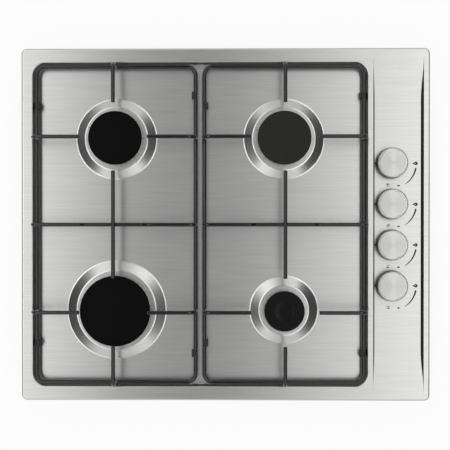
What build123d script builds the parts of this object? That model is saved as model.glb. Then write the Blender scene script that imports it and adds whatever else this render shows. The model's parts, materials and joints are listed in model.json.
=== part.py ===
"""Built-in gas cooktop, 60 cm, with four burners, two wire pan supports and four knobs at the side.

Millimetres. X to the right, Y to the back, Z up. The origin is at the middle of the underside of
the bottom casing, so the hob stands on Z = 0 and the worktop's surface is at worktop_z.
"""
from build123d import *
from collections import namedtuple
from math import atan2, cos, degrees, radians, sin
import os

os.makedirs("parts", exist_ok=True)

# ---- Sheet and fits ---------------------------------------------------------------------------
steel = 0.8                 # thickness of the pressed top
casing_steel = 0.8          # thickness of the bottom casing
fit = 0.05                  # radial clearance of a seated or running fit
screw_fit = 0.2             # radial clearance of a screw in its hole
soft_gap = 0.3              # room between a moving piece and a soft or curved neighbour
merge = 0.2                 # how far two forms of one piece run into each other
past = 1.0                  # how far a cut runs past the face that it opens

# ---- Pressed top ------------------------------------------------------------------------------
panel_width = 580.0
panel_depth = 500.0
panel_corner = 8.0
worktop_z = 44.0            # surface of the worktop, under the seal
seal_thickness = 1.5
seal_width = 7.0
rim_height = 8.0            # border above the worktop
rim_edge = 3.0              # rounding of the rim's outer edge
lip_width = 9.0             # flange turned inwards under the rim

well_margin_left = 16.5     # border left of the well
well_margin_end = 20.3      # border in front of the well and behind it
well_corner = 19.0
well_depth = 10.0
well_draft = 6.0            # degrees from upright
well_round = 1.5            # rounding of the well's lip and of its floor

boss_height = 7.0           # burner boss above the well's floor
crease_round = 4.0          # rounding at a boss's foot and plateau
plateau_margin = 7.0        # plateau beyond the burner cap's edge

strip_width = 71.5          # across the sunk control strip, at its top
strip_margin_right = 9.0
strip_margin_end = 7.0      # border beyond the strip's ends, where its side walls run out
strip_ramp = 71.0           # length over which each end sinks to full depth
strip_bridge = 7.5          # border between the well and the strip
strip_depth = 6.0
strip_draft = 3.0           # how far each side wall leans inwards
ramp_start = 0.7            # first drop of the ramp's curve, so that it leaves the border softly

# ---- Burners ----------------------------------------------------------------------------------
burner_end_reach = 102.0    # burner's axis to the end wire of its pan support
semi_rapid_cap = 37.7       # radii of the caps
rapid_cap = 49.6
auxiliary_cap = 28.4
semi_rapid_cup = 25.0       # outer radii of the cups
rapid_cup = 32.0
auxiliary_cup = 18.5
semi_rapid_cone = 12.4      # run of the boss's cone
rapid_cone = 13.8
auxiliary_cone = 13.0
semi_rapid_ports = 32
rapid_ports = 44
auxiliary_ports = 22

cup_wall = 2.0
cup_floor_rise = 5.0        # underside of the cup's floor above the gas way's axis
cup_floor = 2.5
cup_rim_rise = 3.0          # rim of the cup above the plateau
flange_reach = 9.0          # cup flange beyond its wall
flange_thickness = 2.5
flange_screw_reach = 5.0    # screw circle beyond the cup's wall
flange_screw_angle = 60.0
cup_window_width = 13.0
cup_window_height = 12.0
cup_windows = 4
cup_window_angle = 45.0
hub_radius = 7.5
hub_below = 7.0             # hub below the gas way's axis, and above it
hub_above = 10.0
gas_boss_radius = 6.0
gas_boss_reach = 32.0       # from the hub's axis to the boss's end
gas_passage = 2.0

head_show = 0.5             # head's rim beyond the cap's edge
head_deck = 2.5
head_height = 8.0
head_ring = 6.0             # wall that carries the flame ports
head_chamfer = 1.5
port_width = 1.8
port_height = 4.2
spigot_depth = 4.0
spigot_wall = 1.8
throat_radius = 6.5
throat_wall = 1.8
throat_drop = 14.0          # venturi tube under the head

cap_thickness = 5.0
cap_shoulder = 1.9          # rounding of the cap's upper edge
cap_chamfer = 0.8
cap_crown = 0.5             # how far the cap's middle stands above its shoulder
cap_ridge_depth = 2.0
cap_ridge_wall = 2.0
cap_dish_radius = 14.0      # shallow dish in the small cap
cap_dish_depth = 0.9
cap_dish_flat = 5.0
cap_flat = 0.45             # flat middle of a cap, as a share of its radius

injector_radius = 3.0
injector_head = 4.2
injector_head_height = 5.0
injector_orifice = 0.5

screw_radius = 1.9
screw_head = 3.5
screw_head_height = 2.0
burner_screw_length = 9.0

# ---- Spark electrodes -------------------------------------------------------------------------
ceramic_radius = 1.8        # slim part above the top
ceramic_body_radius = 3.5
ceramic_top_rise = 6.0      # above the plateau
ceramic_drop = 19.0         # ceramic's lower end below the plateau
pin_radius = 0.8
pin_rise = 3.0              # pin above the ceramic
pin_tail = 4.0              # pin below the ceramic
electrode_rise_y = 15.0     # every electrode stands this far behind its burner's axis
electrode_gap = 0.3         # ceramic to the burner head
electrode_ear = 3.2
boot_radius = 2.8
boot_length = 10.0
lead_radius = 1.6
lead_rise = 3.4             # lead's axis above the casing's floor
lead_bend = 9.0
lead_side_approach = 40.0   # straight run into the generator's end
lead_edge_approach = 30.0   # straight run into the generator's long sides

# ---- Pan supports -----------------------------------------------------------------------------
frame_wire = 3.0            # radius
finger_wire = 2.75          # radius
frame_side_gap = 5.5        # frame wire's axis from the well's upper edge, at the sides
frame_end_gap = 5.7         # and at the ends
frame_middle_gap = 12.5     # between the two frames' wires, axis to axis
frame_corner = 12.5
frame_rise = 9.0            # frame wire's axis above the well's floor
finger_rise = 38.0          # finger wire's axis above the well's floor
finger_bend = 9.0
finger_tip_distance = 47.0  # from the burner's axis
finger_tip_round = 1.3
joggle_half_width = 40.0
joggle_run = 9.0
joggle_bend = 7.0
weld_sink = 0.4             # how far two welded wires run into each other
foot_length = 9.0
foot_outer = 2.2            # foot beyond the wire's axis, on the wall's side
foot_inner = 5.2            # foot beyond the wire's axis, on the burner's side
foot_cover = 3.6            # foot above the wire's axis
foot_round = 0.8
left_foot_y = 168.7         # feet on a grid's left wire, either way from its middle
right_foot_y = 183.4

# ---- Controls ---------------------------------------------------------------------------------
knob_offset_x = -9.25       # knobs from the middle of the strip
knob_pitch = 58.0
knob_radius = 22.0
knob_taper = 0.7
knob_height = 10.5
knob_edge = 0.7
knob_wall = 2.2
knob_roof = 2.4
knob_hub = 7.0
knob_ribs = 6
knob_rib = 1.4
knob_rib_angle = 30.0
disc_radius = 20.2
disc_thickness = 0.9
disc_recess = 0.7
disc_edge_run = 0.5         # chamfer of the disc's edge
disc_edge_drop = 0.3
disc_bead = 0.8             # flat bead inside the chamfer
disc_groove_run = 0.6       # slope from the bead to the spun face
disc_groove_drop = 0.25
disc_middle_drop = 0.1      # middle of the face under the bead
pointer_width = 1.6
pointer_length = 4.5
pointer_depth = 0.7
push_travel = 3.5
knob_clearance = 0.5        # knob to strip floor when pushed in

spindle_radius = 4.0
spindle_flat = 2.8          # flat's distance from the axis
spindle_grip = 7.0          # spindle inside the knob's hub
collar_radius = 9.0
collar_thickness = 1.5
collar_gap = 0.4            # collar to the seal above it
tang_length = 9.0
tang_width = 5.0
tang_thickness = 2.2
tang_fit = 0.1

seal_hole = 6.0             # hole in the strip for the spindle's seal
seal_flange = 8.0
seal_lip = 1.2

tap_radius = 10.0
tap_below = 10.5            # tap body below the gas way's axis, and above it
tap_above = 9.0
tap_wall = 1.8
neck_radius = 5.5
plug_top_radius = 7.4
plug_bottom_radius = 6.2
plug_end_gap = 0.3
outlet_radius = 6.0
outlet_reach = 20.0
yoke_width = 15.0
yoke_cover = 3.0

rail_offset_x = 18.0        # rail from the knobs' axes
rail_radius = 8.0
rail_wall = 1.5
gas_drop = 28.0             # axis of the rail, tap outlets and tubes below the strip's floor
rail_front_reach = 14.0     # rail beyond the front tap

inlet_thread_radius = 10.48  # G 1/2
inlet_reach = 16.0          # thread beyond the hex
inlet_bore = 7.0
inlet_hex = 12.9            # corner radius
hex_turn = 30.0             # turns a flat of the hexagon to the top
inlet_hex_length = 18.0
inlet_socket = 12.0
inlet_hex_show = 2.0        # hex outside the casing's wall

tube_radius = 3.0
tube_wall = 0.7
tube_bend = 16.0
tube_insert = 6.0
nut_radius = 7.0
nut_length = 9.0

switch_width = 10.0
switch_reach = 18.5
switch_body = 12.0
switch_height = 9.0
switch_plate = 2.0
switch_plate_width = 15.0
plunger_radius = 1.3
plunger_x = 7.6             # from the spindle's axis

# ---- Underside --------------------------------------------------------------------------------
casing_margin_side = 20.0   # casing inside the top's outline, at the sides
casing_margin_end = 30.0    # and at the ends
casing_corner = 4.0
casing_bend = 2.0
casing_bead_inset = 120.0   # stiffening beads of the floor from the casing's sides
casing_bead_end = 70.0      # and from its ends
casing_bead_width = 14.0
casing_bead_depth = 1.2
casing_bead_lean = 40.0     # degrees from upright
casing_skirt_inset = 8.0    # ends of the raised edge inside the strip's flat length

lug_left_inset = 35.0       # left lugs from the casing's side
lug_right_inset = 62.0      # right lugs from the well's side
lug_width = 16.0
lug_steel = 1.5
lug_height = 16.0
lug_reach = 13.0
lug_screw_drop = 10.0
casing_screw_length = 8.0

clamp_inset = 90.0          # clamps from the casing's sides
clamp_width = 22.0
clamp_steel = 2.0
clamp_reach = 28.0
worktop_thickness = 30.0
clamp_foot_z = 2.5
clamp_screw_rise = 5.1      # screw above the clamp's foot
clamp_screw_length = 9.0

generator_offset_x = 45.75  # generator from the middle of the well
generator_width = 60.0
generator_depth = 36.0
generator_height = 24.0
generator_round = 2.0
socket_depth = 5.0
side_socket_y = 9.0

terminal_inset = 58.0       # terminal block and cable entry from the casing's right side
terminal_width = 32.0
terminal_depth = 18.0
terminal_height = 15.0
terminal_wall_gap = 9.0
terminal_poles = 3
terminal_pitch = 9.0
terminal_screw = 2.6
terminal_screw_depth = 3.0

cable_bore = 4.0
cable_hole = 6.0
cable_flange = 9.0
cable_lip = 1.6

vent_count = 9
vent_pitch = 18.0
vent_length = 24.0
vent_width = 4.0

# ---- Places worked out from the sizes above ---------------------------------------------------
well_width = panel_width - well_margin_left - strip_bridge - strip_width - strip_margin_right
well_length = panel_depth - 2 * well_margin_end
well_left = well_margin_left - panel_width / 2
well_right = well_left + well_width
well_centre_x = (well_left + well_right) / 2
strip_centre_x = panel_width / 2 - strip_margin_right - strip_width / 2
strip_length = panel_depth - 2 * strip_margin_end
strip_flat = strip_length - 2 * strip_ramp
frame_half_width = (well_width - 2 * frame_side_gap - frame_middle_gap) / 4
frame_half_length = well_length / 2 - frame_end_gap
burner_x_left = well_left + frame_side_gap + frame_half_width
burner_x_right = well_right - frame_side_gap - frame_half_width
burner_y = frame_half_length - burner_end_reach
knob_x = strip_centre_x + knob_offset_x
rail_x = knob_x + rail_offset_x
casing_width = panel_width - 2 * casing_margin_side
casing_depth = panel_depth - 2 * casing_margin_end
casing_inner_y = casing_depth / 2 - casing_steel
casing_skirt = strip_flat - 2 * casing_skirt_inset
lug_x = (lug_left_inset - casing_width / 2, well_centre_x, well_right - lug_right_inset)
clamp_x = (clamp_inset - casing_width / 2, casing_width / 2 - clamp_inset)
generator_x = well_centre_x + generator_offset_x
bead_x = (casing_bead_inset - casing_width / 2, casing_width / 2 - casing_bead_inset)
terminal_x = casing_width / 2 - terminal_inset

# ---- Levels worked out from the sizes above ---------------------------------------------------
lip_z = worktop_z + seal_thickness
border_z = worktop_z + rim_height
well_z = border_z - well_depth
boss_z = well_z + boss_height
strip_z = border_z - strip_depth
gas_z = strip_z - gas_drop
flange_z = boss_z - steel - flange_thickness
cup_rim_z = boss_z + cup_rim_rise
cap_z = cup_rim_z + head_height
cup_floor_z = gas_z + cup_floor_rise
hub_bottom_z = gas_z - hub_below
hub_top_z = gas_z + hub_above
ceramic_top_z = boss_z + ceramic_top_rise
ceramic_bottom_z = boss_z - ceramic_drop
lead_z = casing_steel + lead_rise
frame_z = well_z + frame_rise
finger_z = well_z + finger_rise
casing_top_z = well_z - steel
knob_z = strip_z + push_travel + knob_clearance
knob_top_z = knob_z + knob_height
hub_z = strip_z + seal_lip + soft_gap + push_travel
spindle_top_z = knob_z + spindle_grip
seal_bottom_z = strip_z - steel - seal_lip
collar_z = seal_bottom_z - collar_gap - collar_thickness
neck_top_z = collar_z - push_travel - soft_gap
tap_bottom_z = gas_z - tap_below
tap_top_z = gas_z + tap_above
plug_bottom_z = tap_bottom_z + tap_wall + plug_end_gap
plug_top_z = tap_top_z - tap_wall - plug_end_gap
tang_z = plug_top_z - tang_length
shank_z = plug_top_z + push_travel + plug_end_gap
lug_screw_z = casing_top_z - lug_screw_drop
clamp_top_z = worktop_z - worktop_thickness
clamp_screw_z = clamp_foot_z + clamp_screw_rise

Burner = namedtuple("Burner", "name x y cap cup cone ports dished")
burners = [
    Burner("rear_left", burner_x_left, burner_y,
           semi_rapid_cap, semi_rapid_cup, semi_rapid_cone, semi_rapid_ports, False),
    Burner("rear_right", burner_x_right, burner_y,
           semi_rapid_cap, semi_rapid_cup, semi_rapid_cone, semi_rapid_ports, False),
    Burner("front_left", burner_x_left, -burner_y,
           rapid_cap, rapid_cup, rapid_cone, rapid_ports, False),
    Burner("front_right", burner_x_right, -burner_y,
           auxiliary_cap, auxiliary_cup, auxiliary_cone, auxiliary_ports, True),
]

knob_ys = [knob_pitch * (1.5 - index) for index in range(4)]
knob_of_burner = {"rear_right": 0, "rear_left": 1, "front_left": 2, "front_right": 3}


def save(piece, name):
    """Label a finished piece and write its file."""
    piece.part.label = name
    export_step(piece.part, f"parts/{name}.step")


def save_group(pieces, name):
    """Write pieces that are joined on the real object, each still a solid of its own, as one node."""
    group = Compound([solid for piece in pieces for solid in piece.part.solids()], label=name)
    export_step(group, f"parts/{name}.step")


def upright(x, y):
    """Upright plane through (x, y): its first axis points right and its second one up."""
    return Plane(origin=(x, y, 0), x_dir=(1, 0, 0), z_dir=(0, -1, 0))


def turned(x, y, *points):
    """Solid of revolution about the upright axis at (x, y), from (radius, height) points."""
    with BuildPart() as piece:
        with BuildSketch(upright(x, y)):
            with BuildLine():
                Polyline(*points, close=True)
            make_face()
        revolve(axis=Axis((x, y, 0), (0, 0, 1)))
    return piece


def electrode_distance(burner):
    """Distance of the spark electrode's axis from the burner's axis."""
    return burner.cap + head_show + electrode_gap + ceramic_radius


def electrode_spot(burner):
    """Place of the spark electrode, to the upper left of the burner's head."""
    reach_x = (electrode_distance(burner) ** 2 - electrode_rise_y ** 2) ** 0.5
    return burner.x - reach_x, burner.y + electrode_rise_y


def rings_about(piece, burner):
    """Circular edges of a piece that lie round a burner's axis, the lowest first."""
    axis = Axis((burner.x, burner.y, 0), (0, 0, 1))
    circles = piece.edges().filter_by(GeomType.CIRCLE)
    return circles.filter_by(lambda edge: axis.is_coaxial(Axis(edge.arc_center, (0, 0, 1)))).sort_by(Axis.Z)


def wall_shift(lean, gap):
    """Sideways step that keeps a sheet's thickness on a wall leaning `lean` degrees from upright."""
    return gap * (1 - sin(radians(lean))) / cos(radians(lean))


# ---- Pressed top ------------------------------------------------------------------------------
def strip_tool(gap):
    """What the control strip takes out of the solid whose surface lies `gap` under the sheet's face."""
    lean = degrees(atan2(strip_draft, strip_depth))
    top = border_z - gap
    floor = strip_z - gap
    half = strip_width / 2 + wall_shift(lean, gap)
    end = strip_length / 2
    flat = strip_flat / 2
    ramp_middle = (end + flat) / 2
    above = rim_height
    with BuildPart() as tool:
        with BuildSketch(Plane.YZ.offset(strip_centre_x)):
            with BuildLine():
                Bezier((-end, top), (-ramp_middle, top - ramp_start), (-ramp_middle, floor), (-flat, floor))
                Line((-flat, floor), (flat, floor))
                Bezier((flat, floor), (ramp_middle, floor), (ramp_middle, top - ramp_start), (end, top))
                Polyline((end, top), (end, top + above), (-end, top + above), (-end, top))
            make_face()
        extrude(amount=strip_width, both=True)
        with BuildSketch(Plane.XZ):
            with BuildLine():
                rise = above / strip_depth * strip_draft
                Polyline(
                    (strip_centre_x - half + strip_draft, floor),
                    (strip_centre_x + half - strip_draft, floor),
                    (strip_centre_x + half + rise, top + above),
                    (strip_centre_x - half - rise, top + above),
                    close=True,
                )
            make_face()
        extrude(amount=strip_length, both=True, mode=Mode.INTERSECT)
    return tool


def pressing(gap):
    """Solid below a face of the sheet: the top face at gap 0, its underside at gap `steel`."""
    shift = wall_shift(well_draft, gap)
    inset = lip_width if gap else lip_width + steel
    core_z = well_z - 2 * steel - gap
    with BuildPart() as form:
        with BuildSketch(Plane.XY.offset(lip_z + gap)):
            RectangleRounded(panel_width - 2 * gap, panel_depth - 2 * gap, panel_corner - gap)
        extrude(amount=border_z - lip_z - 2 * gap)
        fillet(form.faces().sort_by(Axis.Z)[-1].edges(), rim_edge - gap)
        with BuildSketch(Plane.XY.offset(core_z)):
            RectangleRounded(panel_width - 2 * inset, panel_depth - 2 * inset, panel_corner)
        extrude(amount=lip_z + 2 * steel - core_z)
        with BuildSketch(Plane.XY.offset(border_z - gap)):
            with Locations((well_centre_x, 0)):
                RectangleRounded(well_width + 2 * shift, well_length + 2 * shift, well_corner + shift)
        extrude(amount=well_depth, dir=(0, 0, -1), taper=well_draft, mode=Mode.SUBTRACT)
        fillet(form.edges(Select.LAST).group_by(Axis.Z)[0], well_round + gap)
        fillet(form.faces().sort_by(Axis.Z)[-1].inner_wires()[0].edges(), well_round - gap)
        for burner in burners:
            plateau = burner.cap + plateau_margin
            step = wall_shift(degrees(atan2(burner.cone, boss_height)), gap)
            with Locations((burner.x, burner.y, well_z - gap)):
                Cone(plateau + burner.cone - step, plateau - step, boss_height,
                     align=(Align.CENTER, Align.CENTER, Align.MIN))
            fillet(rings_about(form, burner)[-1], crease_round - gap)
            fillet(rings_about(form, burner)[0], crease_round + gap)
        add(strip_tool(gap), mode=Mode.SUBTRACT)
    return form


with BuildPart() as hob_top:
    add(pressing(0))
    add(pressing(steel), mode=Mode.SUBTRACT)
    for burner in burners:
        with Locations((burner.x, burner.y, boss_z)):
            Hole(burner.cup + screw_fit)
            with PolarLocations(burner.cup + flange_screw_reach, 2, start_angle=flange_screw_angle):
                Hole(screw_radius + screw_fit)
        with Locations((*electrode_spot(burner), boss_z)):
            Hole(ceramic_radius + screw_fit)
    with Locations([(knob_x, y, strip_z) for y in knob_ys]):
        Hole(seal_hole)
save(hob_top, "hob_top")

with BuildPart() as worktop_seal:
    with BuildSketch(Plane.XY.offset(worktop_z)):
        RectangleRounded(panel_width - 2 * steel, panel_depth - 2 * steel, panel_corner - steel)
        RectangleRounded(panel_width - 2 * seal_width, panel_depth - 2 * seal_width, panel_corner - steel,
                         mode=Mode.SUBTRACT)
    extrude(amount=seal_thickness)
save(worktop_seal, "worktop_seal")


# ---- Burners ----------------------------------------------------------------------------------
def make_cup(burner):
    """Cast cup under the top: wall with air windows, flange, hub with the gas way in from the right."""
    inner = burner.cup - cup_wall
    floor_top = cup_floor_z + cup_floor
    outer = burner.cup + flange_reach
    spot_x, spot_y = electrode_spot(burner)
    bearing = degrees(atan2(spot_y - burner.y, spot_x - burner.x))
    distance = electrode_distance(burner)
    with BuildPart() as cup:
        with BuildSketch(upright(burner.x, burner.y)):
            with BuildLine():
                Polyline(
                    (0, hub_bottom_z), (hub_radius, hub_bottom_z), (hub_radius, cup_floor_z),
                    (burner.cup, cup_floor_z), (burner.cup, flange_z), (outer, flange_z),
                    (outer, flange_z + flange_thickness), (burner.cup, flange_z + flange_thickness),
                    (burner.cup, cup_rim_z), (inner, cup_rim_z), (inner, floor_top),
                    (hub_radius, floor_top), (hub_radius, hub_top_z), (0, hub_top_z),
                    close=True,
                )
            make_face()
        revolve(axis=Axis((burner.x, burner.y, 0), (0, 0, 1)))
        with BuildSketch(Plane.XY.offset(flange_z)):
            with Locations((spot_x, spot_y)):
                Circle(electrode_ear)
            with Locations(Location((burner.x, burner.y), bearing)):
                with Locations(((burner.cup + distance) / 2, 0)):
                    Rectangle(distance - burner.cup, 2 * electrode_ear)
        extrude(amount=flange_thickness)
        with BuildSketch(Plane.YZ.offset(burner.x)):
            with Locations((burner.y, gas_z)):
                Circle(gas_boss_radius)
        extrude(amount=gas_boss_reach)
        with BuildSketch(Plane.YZ.offset(burner.x)):
            with Locations((burner.y, gas_z)):
                Circle(gas_passage)
        extrude(amount=gas_boss_reach, mode=Mode.SUBTRACT)
        with BuildSketch(Plane.YZ.offset(burner.x + gas_boss_reach)):
            with Locations((burner.y, gas_z)):
                Circle(tube_radius + fit)
        extrude(amount=-tube_insert, mode=Mode.SUBTRACT)
        with Locations((burner.x, burner.y, hub_top_z)):
            Hole(injector_radius + fit, depth=hub_top_z - gas_z)
        with Locations((burner.x, burner.y, (floor_top + flange_z) / 2)):
            with PolarLocations(burner.cup - cup_wall / 2, cup_windows, start_angle=cup_window_angle):
                Box(3 * cup_wall, cup_window_width, cup_window_height, mode=Mode.SUBTRACT)
        with Locations((burner.x, burner.y, flange_z + flange_thickness)):
            with PolarLocations(burner.cup + flange_screw_reach, 2, start_angle=flange_screw_angle):
                Hole(screw_radius + fit, depth=flange_thickness)
        with Locations((spot_x, spot_y, flange_z + flange_thickness)):
            Hole(ceramic_radius + fit, depth=flange_thickness)
    return cup


def make_head(burner):
    """Burner head: venturi tube, spigot, deck, and a ring wall with flame ports open at the top."""
    radius = burner.cap + head_show
    spigot = burner.cup - cup_wall - soft_gap
    throat = throat_radius + throat_wall
    with BuildPart() as head:
        with BuildSketch(upright(burner.x, burner.y)):
            with BuildLine():
                Polyline(
                    (throat_radius, cup_rim_z - throat_drop), (throat, cup_rim_z - throat_drop),
                    (throat, cup_rim_z), (spigot - spigot_wall, cup_rim_z),
                    (spigot - spigot_wall, cup_rim_z - spigot_depth), (spigot, cup_rim_z - spigot_depth),
                    (spigot, cup_rim_z), (radius - head_chamfer, cup_rim_z),
                    (radius, cup_rim_z + head_chamfer), (radius, cap_z), (radius - head_ring, cap_z),
                    (radius - head_ring, cup_rim_z + head_deck), (throat, cup_rim_z + head_deck),
                    (throat_radius, cup_rim_z + head_deck - throat_wall),
                    close=True,
                )
            make_face()
        revolve(axis=Axis((burner.x, burner.y, 0), (0, 0, 1)))
        with Locations((burner.x, burner.y, cap_z - port_height)):
            with PolarLocations(radius - head_ring / 2, burner.ports):
                Box(2 * head_ring, port_width, 2 * port_height,
                    align=(Align.CENTER, Align.CENTER, Align.MIN), mode=Mode.SUBTRACT)
    return head


def make_cap(burner):
    """Enamelled cap, slightly crowned, with a ridge that keeps it centred in the head's ring."""
    ridge = burner.cap + head_show - head_ring - soft_gap
    top = cap_z + cap_thickness
    shoulder = burner.cap - cap_shoulder
    shoulder_z = top - cap_crown
    with BuildPart() as cap:
        with BuildSketch(upright(burner.x, burner.y)):
            with BuildLine():
                Polyline(
                    (0, cap_z), (ridge - cap_ridge_wall, cap_z),
                    (ridge - cap_ridge_wall, cap_z - cap_ridge_depth),
                    (ridge, cap_z - cap_ridge_depth), (ridge, cap_z),
                    (burner.cap - cap_chamfer, cap_z), (burner.cap, cap_z + cap_chamfer),
                    (burner.cap, shoulder_z - cap_shoulder),
                )
                TangentArc((burner.cap, shoulder_z - cap_shoulder), (shoulder, shoulder_z), tangent=(0, 1))
                if burner.dished:
                    bottom_z = shoulder_z - cap_dish_depth
                    Line((shoulder, shoulder_z), (cap_dish_radius, shoulder_z))
                    TangentArc((cap_dish_flat, bottom_z), (cap_dish_radius, shoulder_z), tangent=(1, 0))
                    Polyline((cap_dish_flat, bottom_z), (0, bottom_z), (0, cap_z))
                else:
                    Polyline((shoulder, shoulder_z), (burner.cap * cap_flat, top), (0, top), (0, cap_z))
            make_face()
        revolve(axis=Axis((burner.x, burner.y, 0), (0, 0, 1)))
    return cap


for burner in burners:
    save(make_cup(burner), f"burner_cup_{burner.name}")
    save(make_head(burner), f"burner_head_{burner.name}")
    save(make_cap(burner), f"burner_cap_{burner.name}")

with BuildPart() as burner_screws:
    for burner in burners:
        with Locations((burner.x, burner.y, boss_z)):
            with PolarLocations(burner.cup + flange_screw_reach, 2, start_angle=flange_screw_angle):
                Cylinder(screw_head, screw_head_height, align=(Align.CENTER, Align.CENTER, Align.MIN))
                Cylinder(screw_radius, burner_screw_length, align=(Align.CENTER, Align.CENTER, Align.MAX))
save(burner_screws, "burner_screws")

with BuildPart() as injectors:
    for burner in burners:
        with Locations((burner.x, burner.y, hub_top_z)):
            Cylinder(injector_radius, hub_top_z - gas_z - fit, align=(Align.CENTER, Align.CENTER, Align.MAX))
        with BuildSketch(Plane.XY.offset(hub_top_z)):
            with Locations((burner.x, burner.y)):
                RegularPolygon(injector_head, 6)
        extrude(amount=injector_head_height)
        with Locations((burner.x, burner.y, hub_top_z + injector_head_height)):
            Hole(injector_orifice, depth=injector_head_height + hub_top_z)
save(injectors, "injectors")

# ---- Spark electrodes -------------------------------------------------------------------------
with BuildPart() as electrode_ceramics:
    for burner in burners:
        spot = electrode_spot(burner)
        add(turned(
            *spot,
            (pin_radius + fit, ceramic_bottom_z), (ceramic_body_radius, ceramic_bottom_z),
            (ceramic_body_radius, flange_z), (ceramic_radius, flange_z),
            (ceramic_radius, ceramic_top_z), (pin_radius + fit, ceramic_top_z),
        ))
save(electrode_ceramics, "electrode_ceramics")

with BuildPart() as electrode_pins:
    for burner in burners:
        spot = electrode_spot(burner)
        with Locations((*spot, ceramic_bottom_z - pin_tail)):
            Cylinder(pin_radius, ceramic_top_z - ceramic_bottom_z + pin_tail + pin_rise,
                     align=(Align.CENTER, Align.CENTER, Align.MIN))
save(electrode_pins, "electrode_pins")


# ---- Pan supports -----------------------------------------------------------------------------
def make_finger(route, frame):
    """Round wire along a route that starts in the frame's wire: its foot is cut to that wire."""
    with BuildPart() as finger:
        with BuildLine() as path:
            FilletPolyline(*route, radius=finger_bend)
        with BuildSketch(Plane(origin=route[0], z_dir=(0, 0, 1))):
            Circle(finger_wire)
        sweep(path=path.wire())
        fillet(finger.edges().filter_by(GeomType.CIRCLE).sort_by_distance(route[-1])[0], finger_tip_round)
        add(frame, mode=Mode.SUBTRACT)
    return finger


def make_grate(centre_x):
    """Welded wires of a pan support: a low frame on feet, fingers that rise from it, a bar and a crossbar."""
    left, right = centre_x - frame_half_width, centre_x + frame_half_width
    with BuildPart() as frame:
        with BuildSketch(Plane.XY.offset(frame_z), mode=Mode.PRIVATE) as outline:
            with Locations((centre_x, 0)):
                RectangleRounded(2 * frame_half_width, 2 * frame_half_length, frame_corner)
        loop = outline.sketch.face().outer_wire()
        with BuildSketch(Plane(origin=loop @ 0, z_dir=loop % 0)):
            Circle(frame_wire)
        sweep(path=loop)
    ends = []
    for side in (-1, 1):
        foot_x = centre_x + side * frame_half_width
        tip_x = centre_x + side * finger_tip_distance
        for row in (-1, 1):
            ends.append(((foot_x, row * burner_y), (tip_x, row * burner_y)))
        tip_y = side * (burner_y + finger_tip_distance)
        ends.append(((centre_x, side * frame_half_length), (centre_x, tip_y)))
    fingers = []
    for foot, tip in ends:
        fingers.append(make_finger([(*foot, frame_z), (*foot, finger_z), (*tip, finger_z)], frame))
    bar_end = burner_y - finger_tip_distance
    with BuildPart() as bar:
        with BuildSketch(Plane.XZ.offset(-bar_end)):
            with Locations((centre_x, finger_z)):
                Circle(finger_wire)
        extrude(amount=2 * bar_end)
        fillet(bar.edges().filter_by(GeomType.CIRCLE), finger_tip_round)
    low_z = finger_z - 2 * finger_wire + weld_sink
    with BuildPart() as crossbar:
        with BuildLine() as path:
            FilletPolyline(
                (left, 0, frame_z), (left, 0, finger_z),
                (centre_x - joggle_half_width - joggle_run, 0, finger_z),
                (centre_x - joggle_half_width, 0, low_z), (centre_x + joggle_half_width, 0, low_z),
                (centre_x + joggle_half_width + joggle_run, 0, finger_z),
                (right, 0, finger_z), (right, 0, frame_z),
                radius=joggle_bend,
            )
        with BuildSketch(Plane(origin=(left, 0, frame_z), z_dir=(0, 0, 1))):
            Circle(finger_wire)
        sweep(path=path.wire())
        add(frame, mode=Mode.SUBTRACT)
        add(bar, mode=Mode.SUBTRACT)
    return [frame, *fingers, bar, crossbar]


def foot_spots(centre_x):
    """(x, y, side) of the four feet: side is the direction from the grid's middle to the wire."""
    spots = []
    for side, foot_y in ((-1, left_foot_y), (1, right_foot_y)):
        for row in (-1, 1):
            spots.append((centre_x + side * frame_half_width, row * foot_y, side))
    return spots


def make_feet(centre_x):
    """Four rubber feet, each clipped round the frame's side wire from inside."""
    with BuildPart() as feet:
        for x, y, side in foot_spots(centre_x):
            middle = x - side * (foot_inner - foot_outer) / 2
            with BuildSketch(Plane.XZ.offset(-y - foot_length / 2)):
                with Locations((middle, (well_z + frame_z + foot_cover) / 2)):
                    RectangleRounded(foot_inner + foot_outer, frame_rise + foot_cover, foot_round)
                with Locations((x, frame_z)):
                    Circle(frame_wire + fit, mode=Mode.SUBTRACT)
            extrude(amount=foot_length)
    return feet


for side_name, x in (("left", burner_x_left), ("right", burner_x_right)):
    save_group(make_grate(x), f"pan_support_{side_name}")
    save(make_feet(x), f"pan_support_{side_name}_feet")


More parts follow.
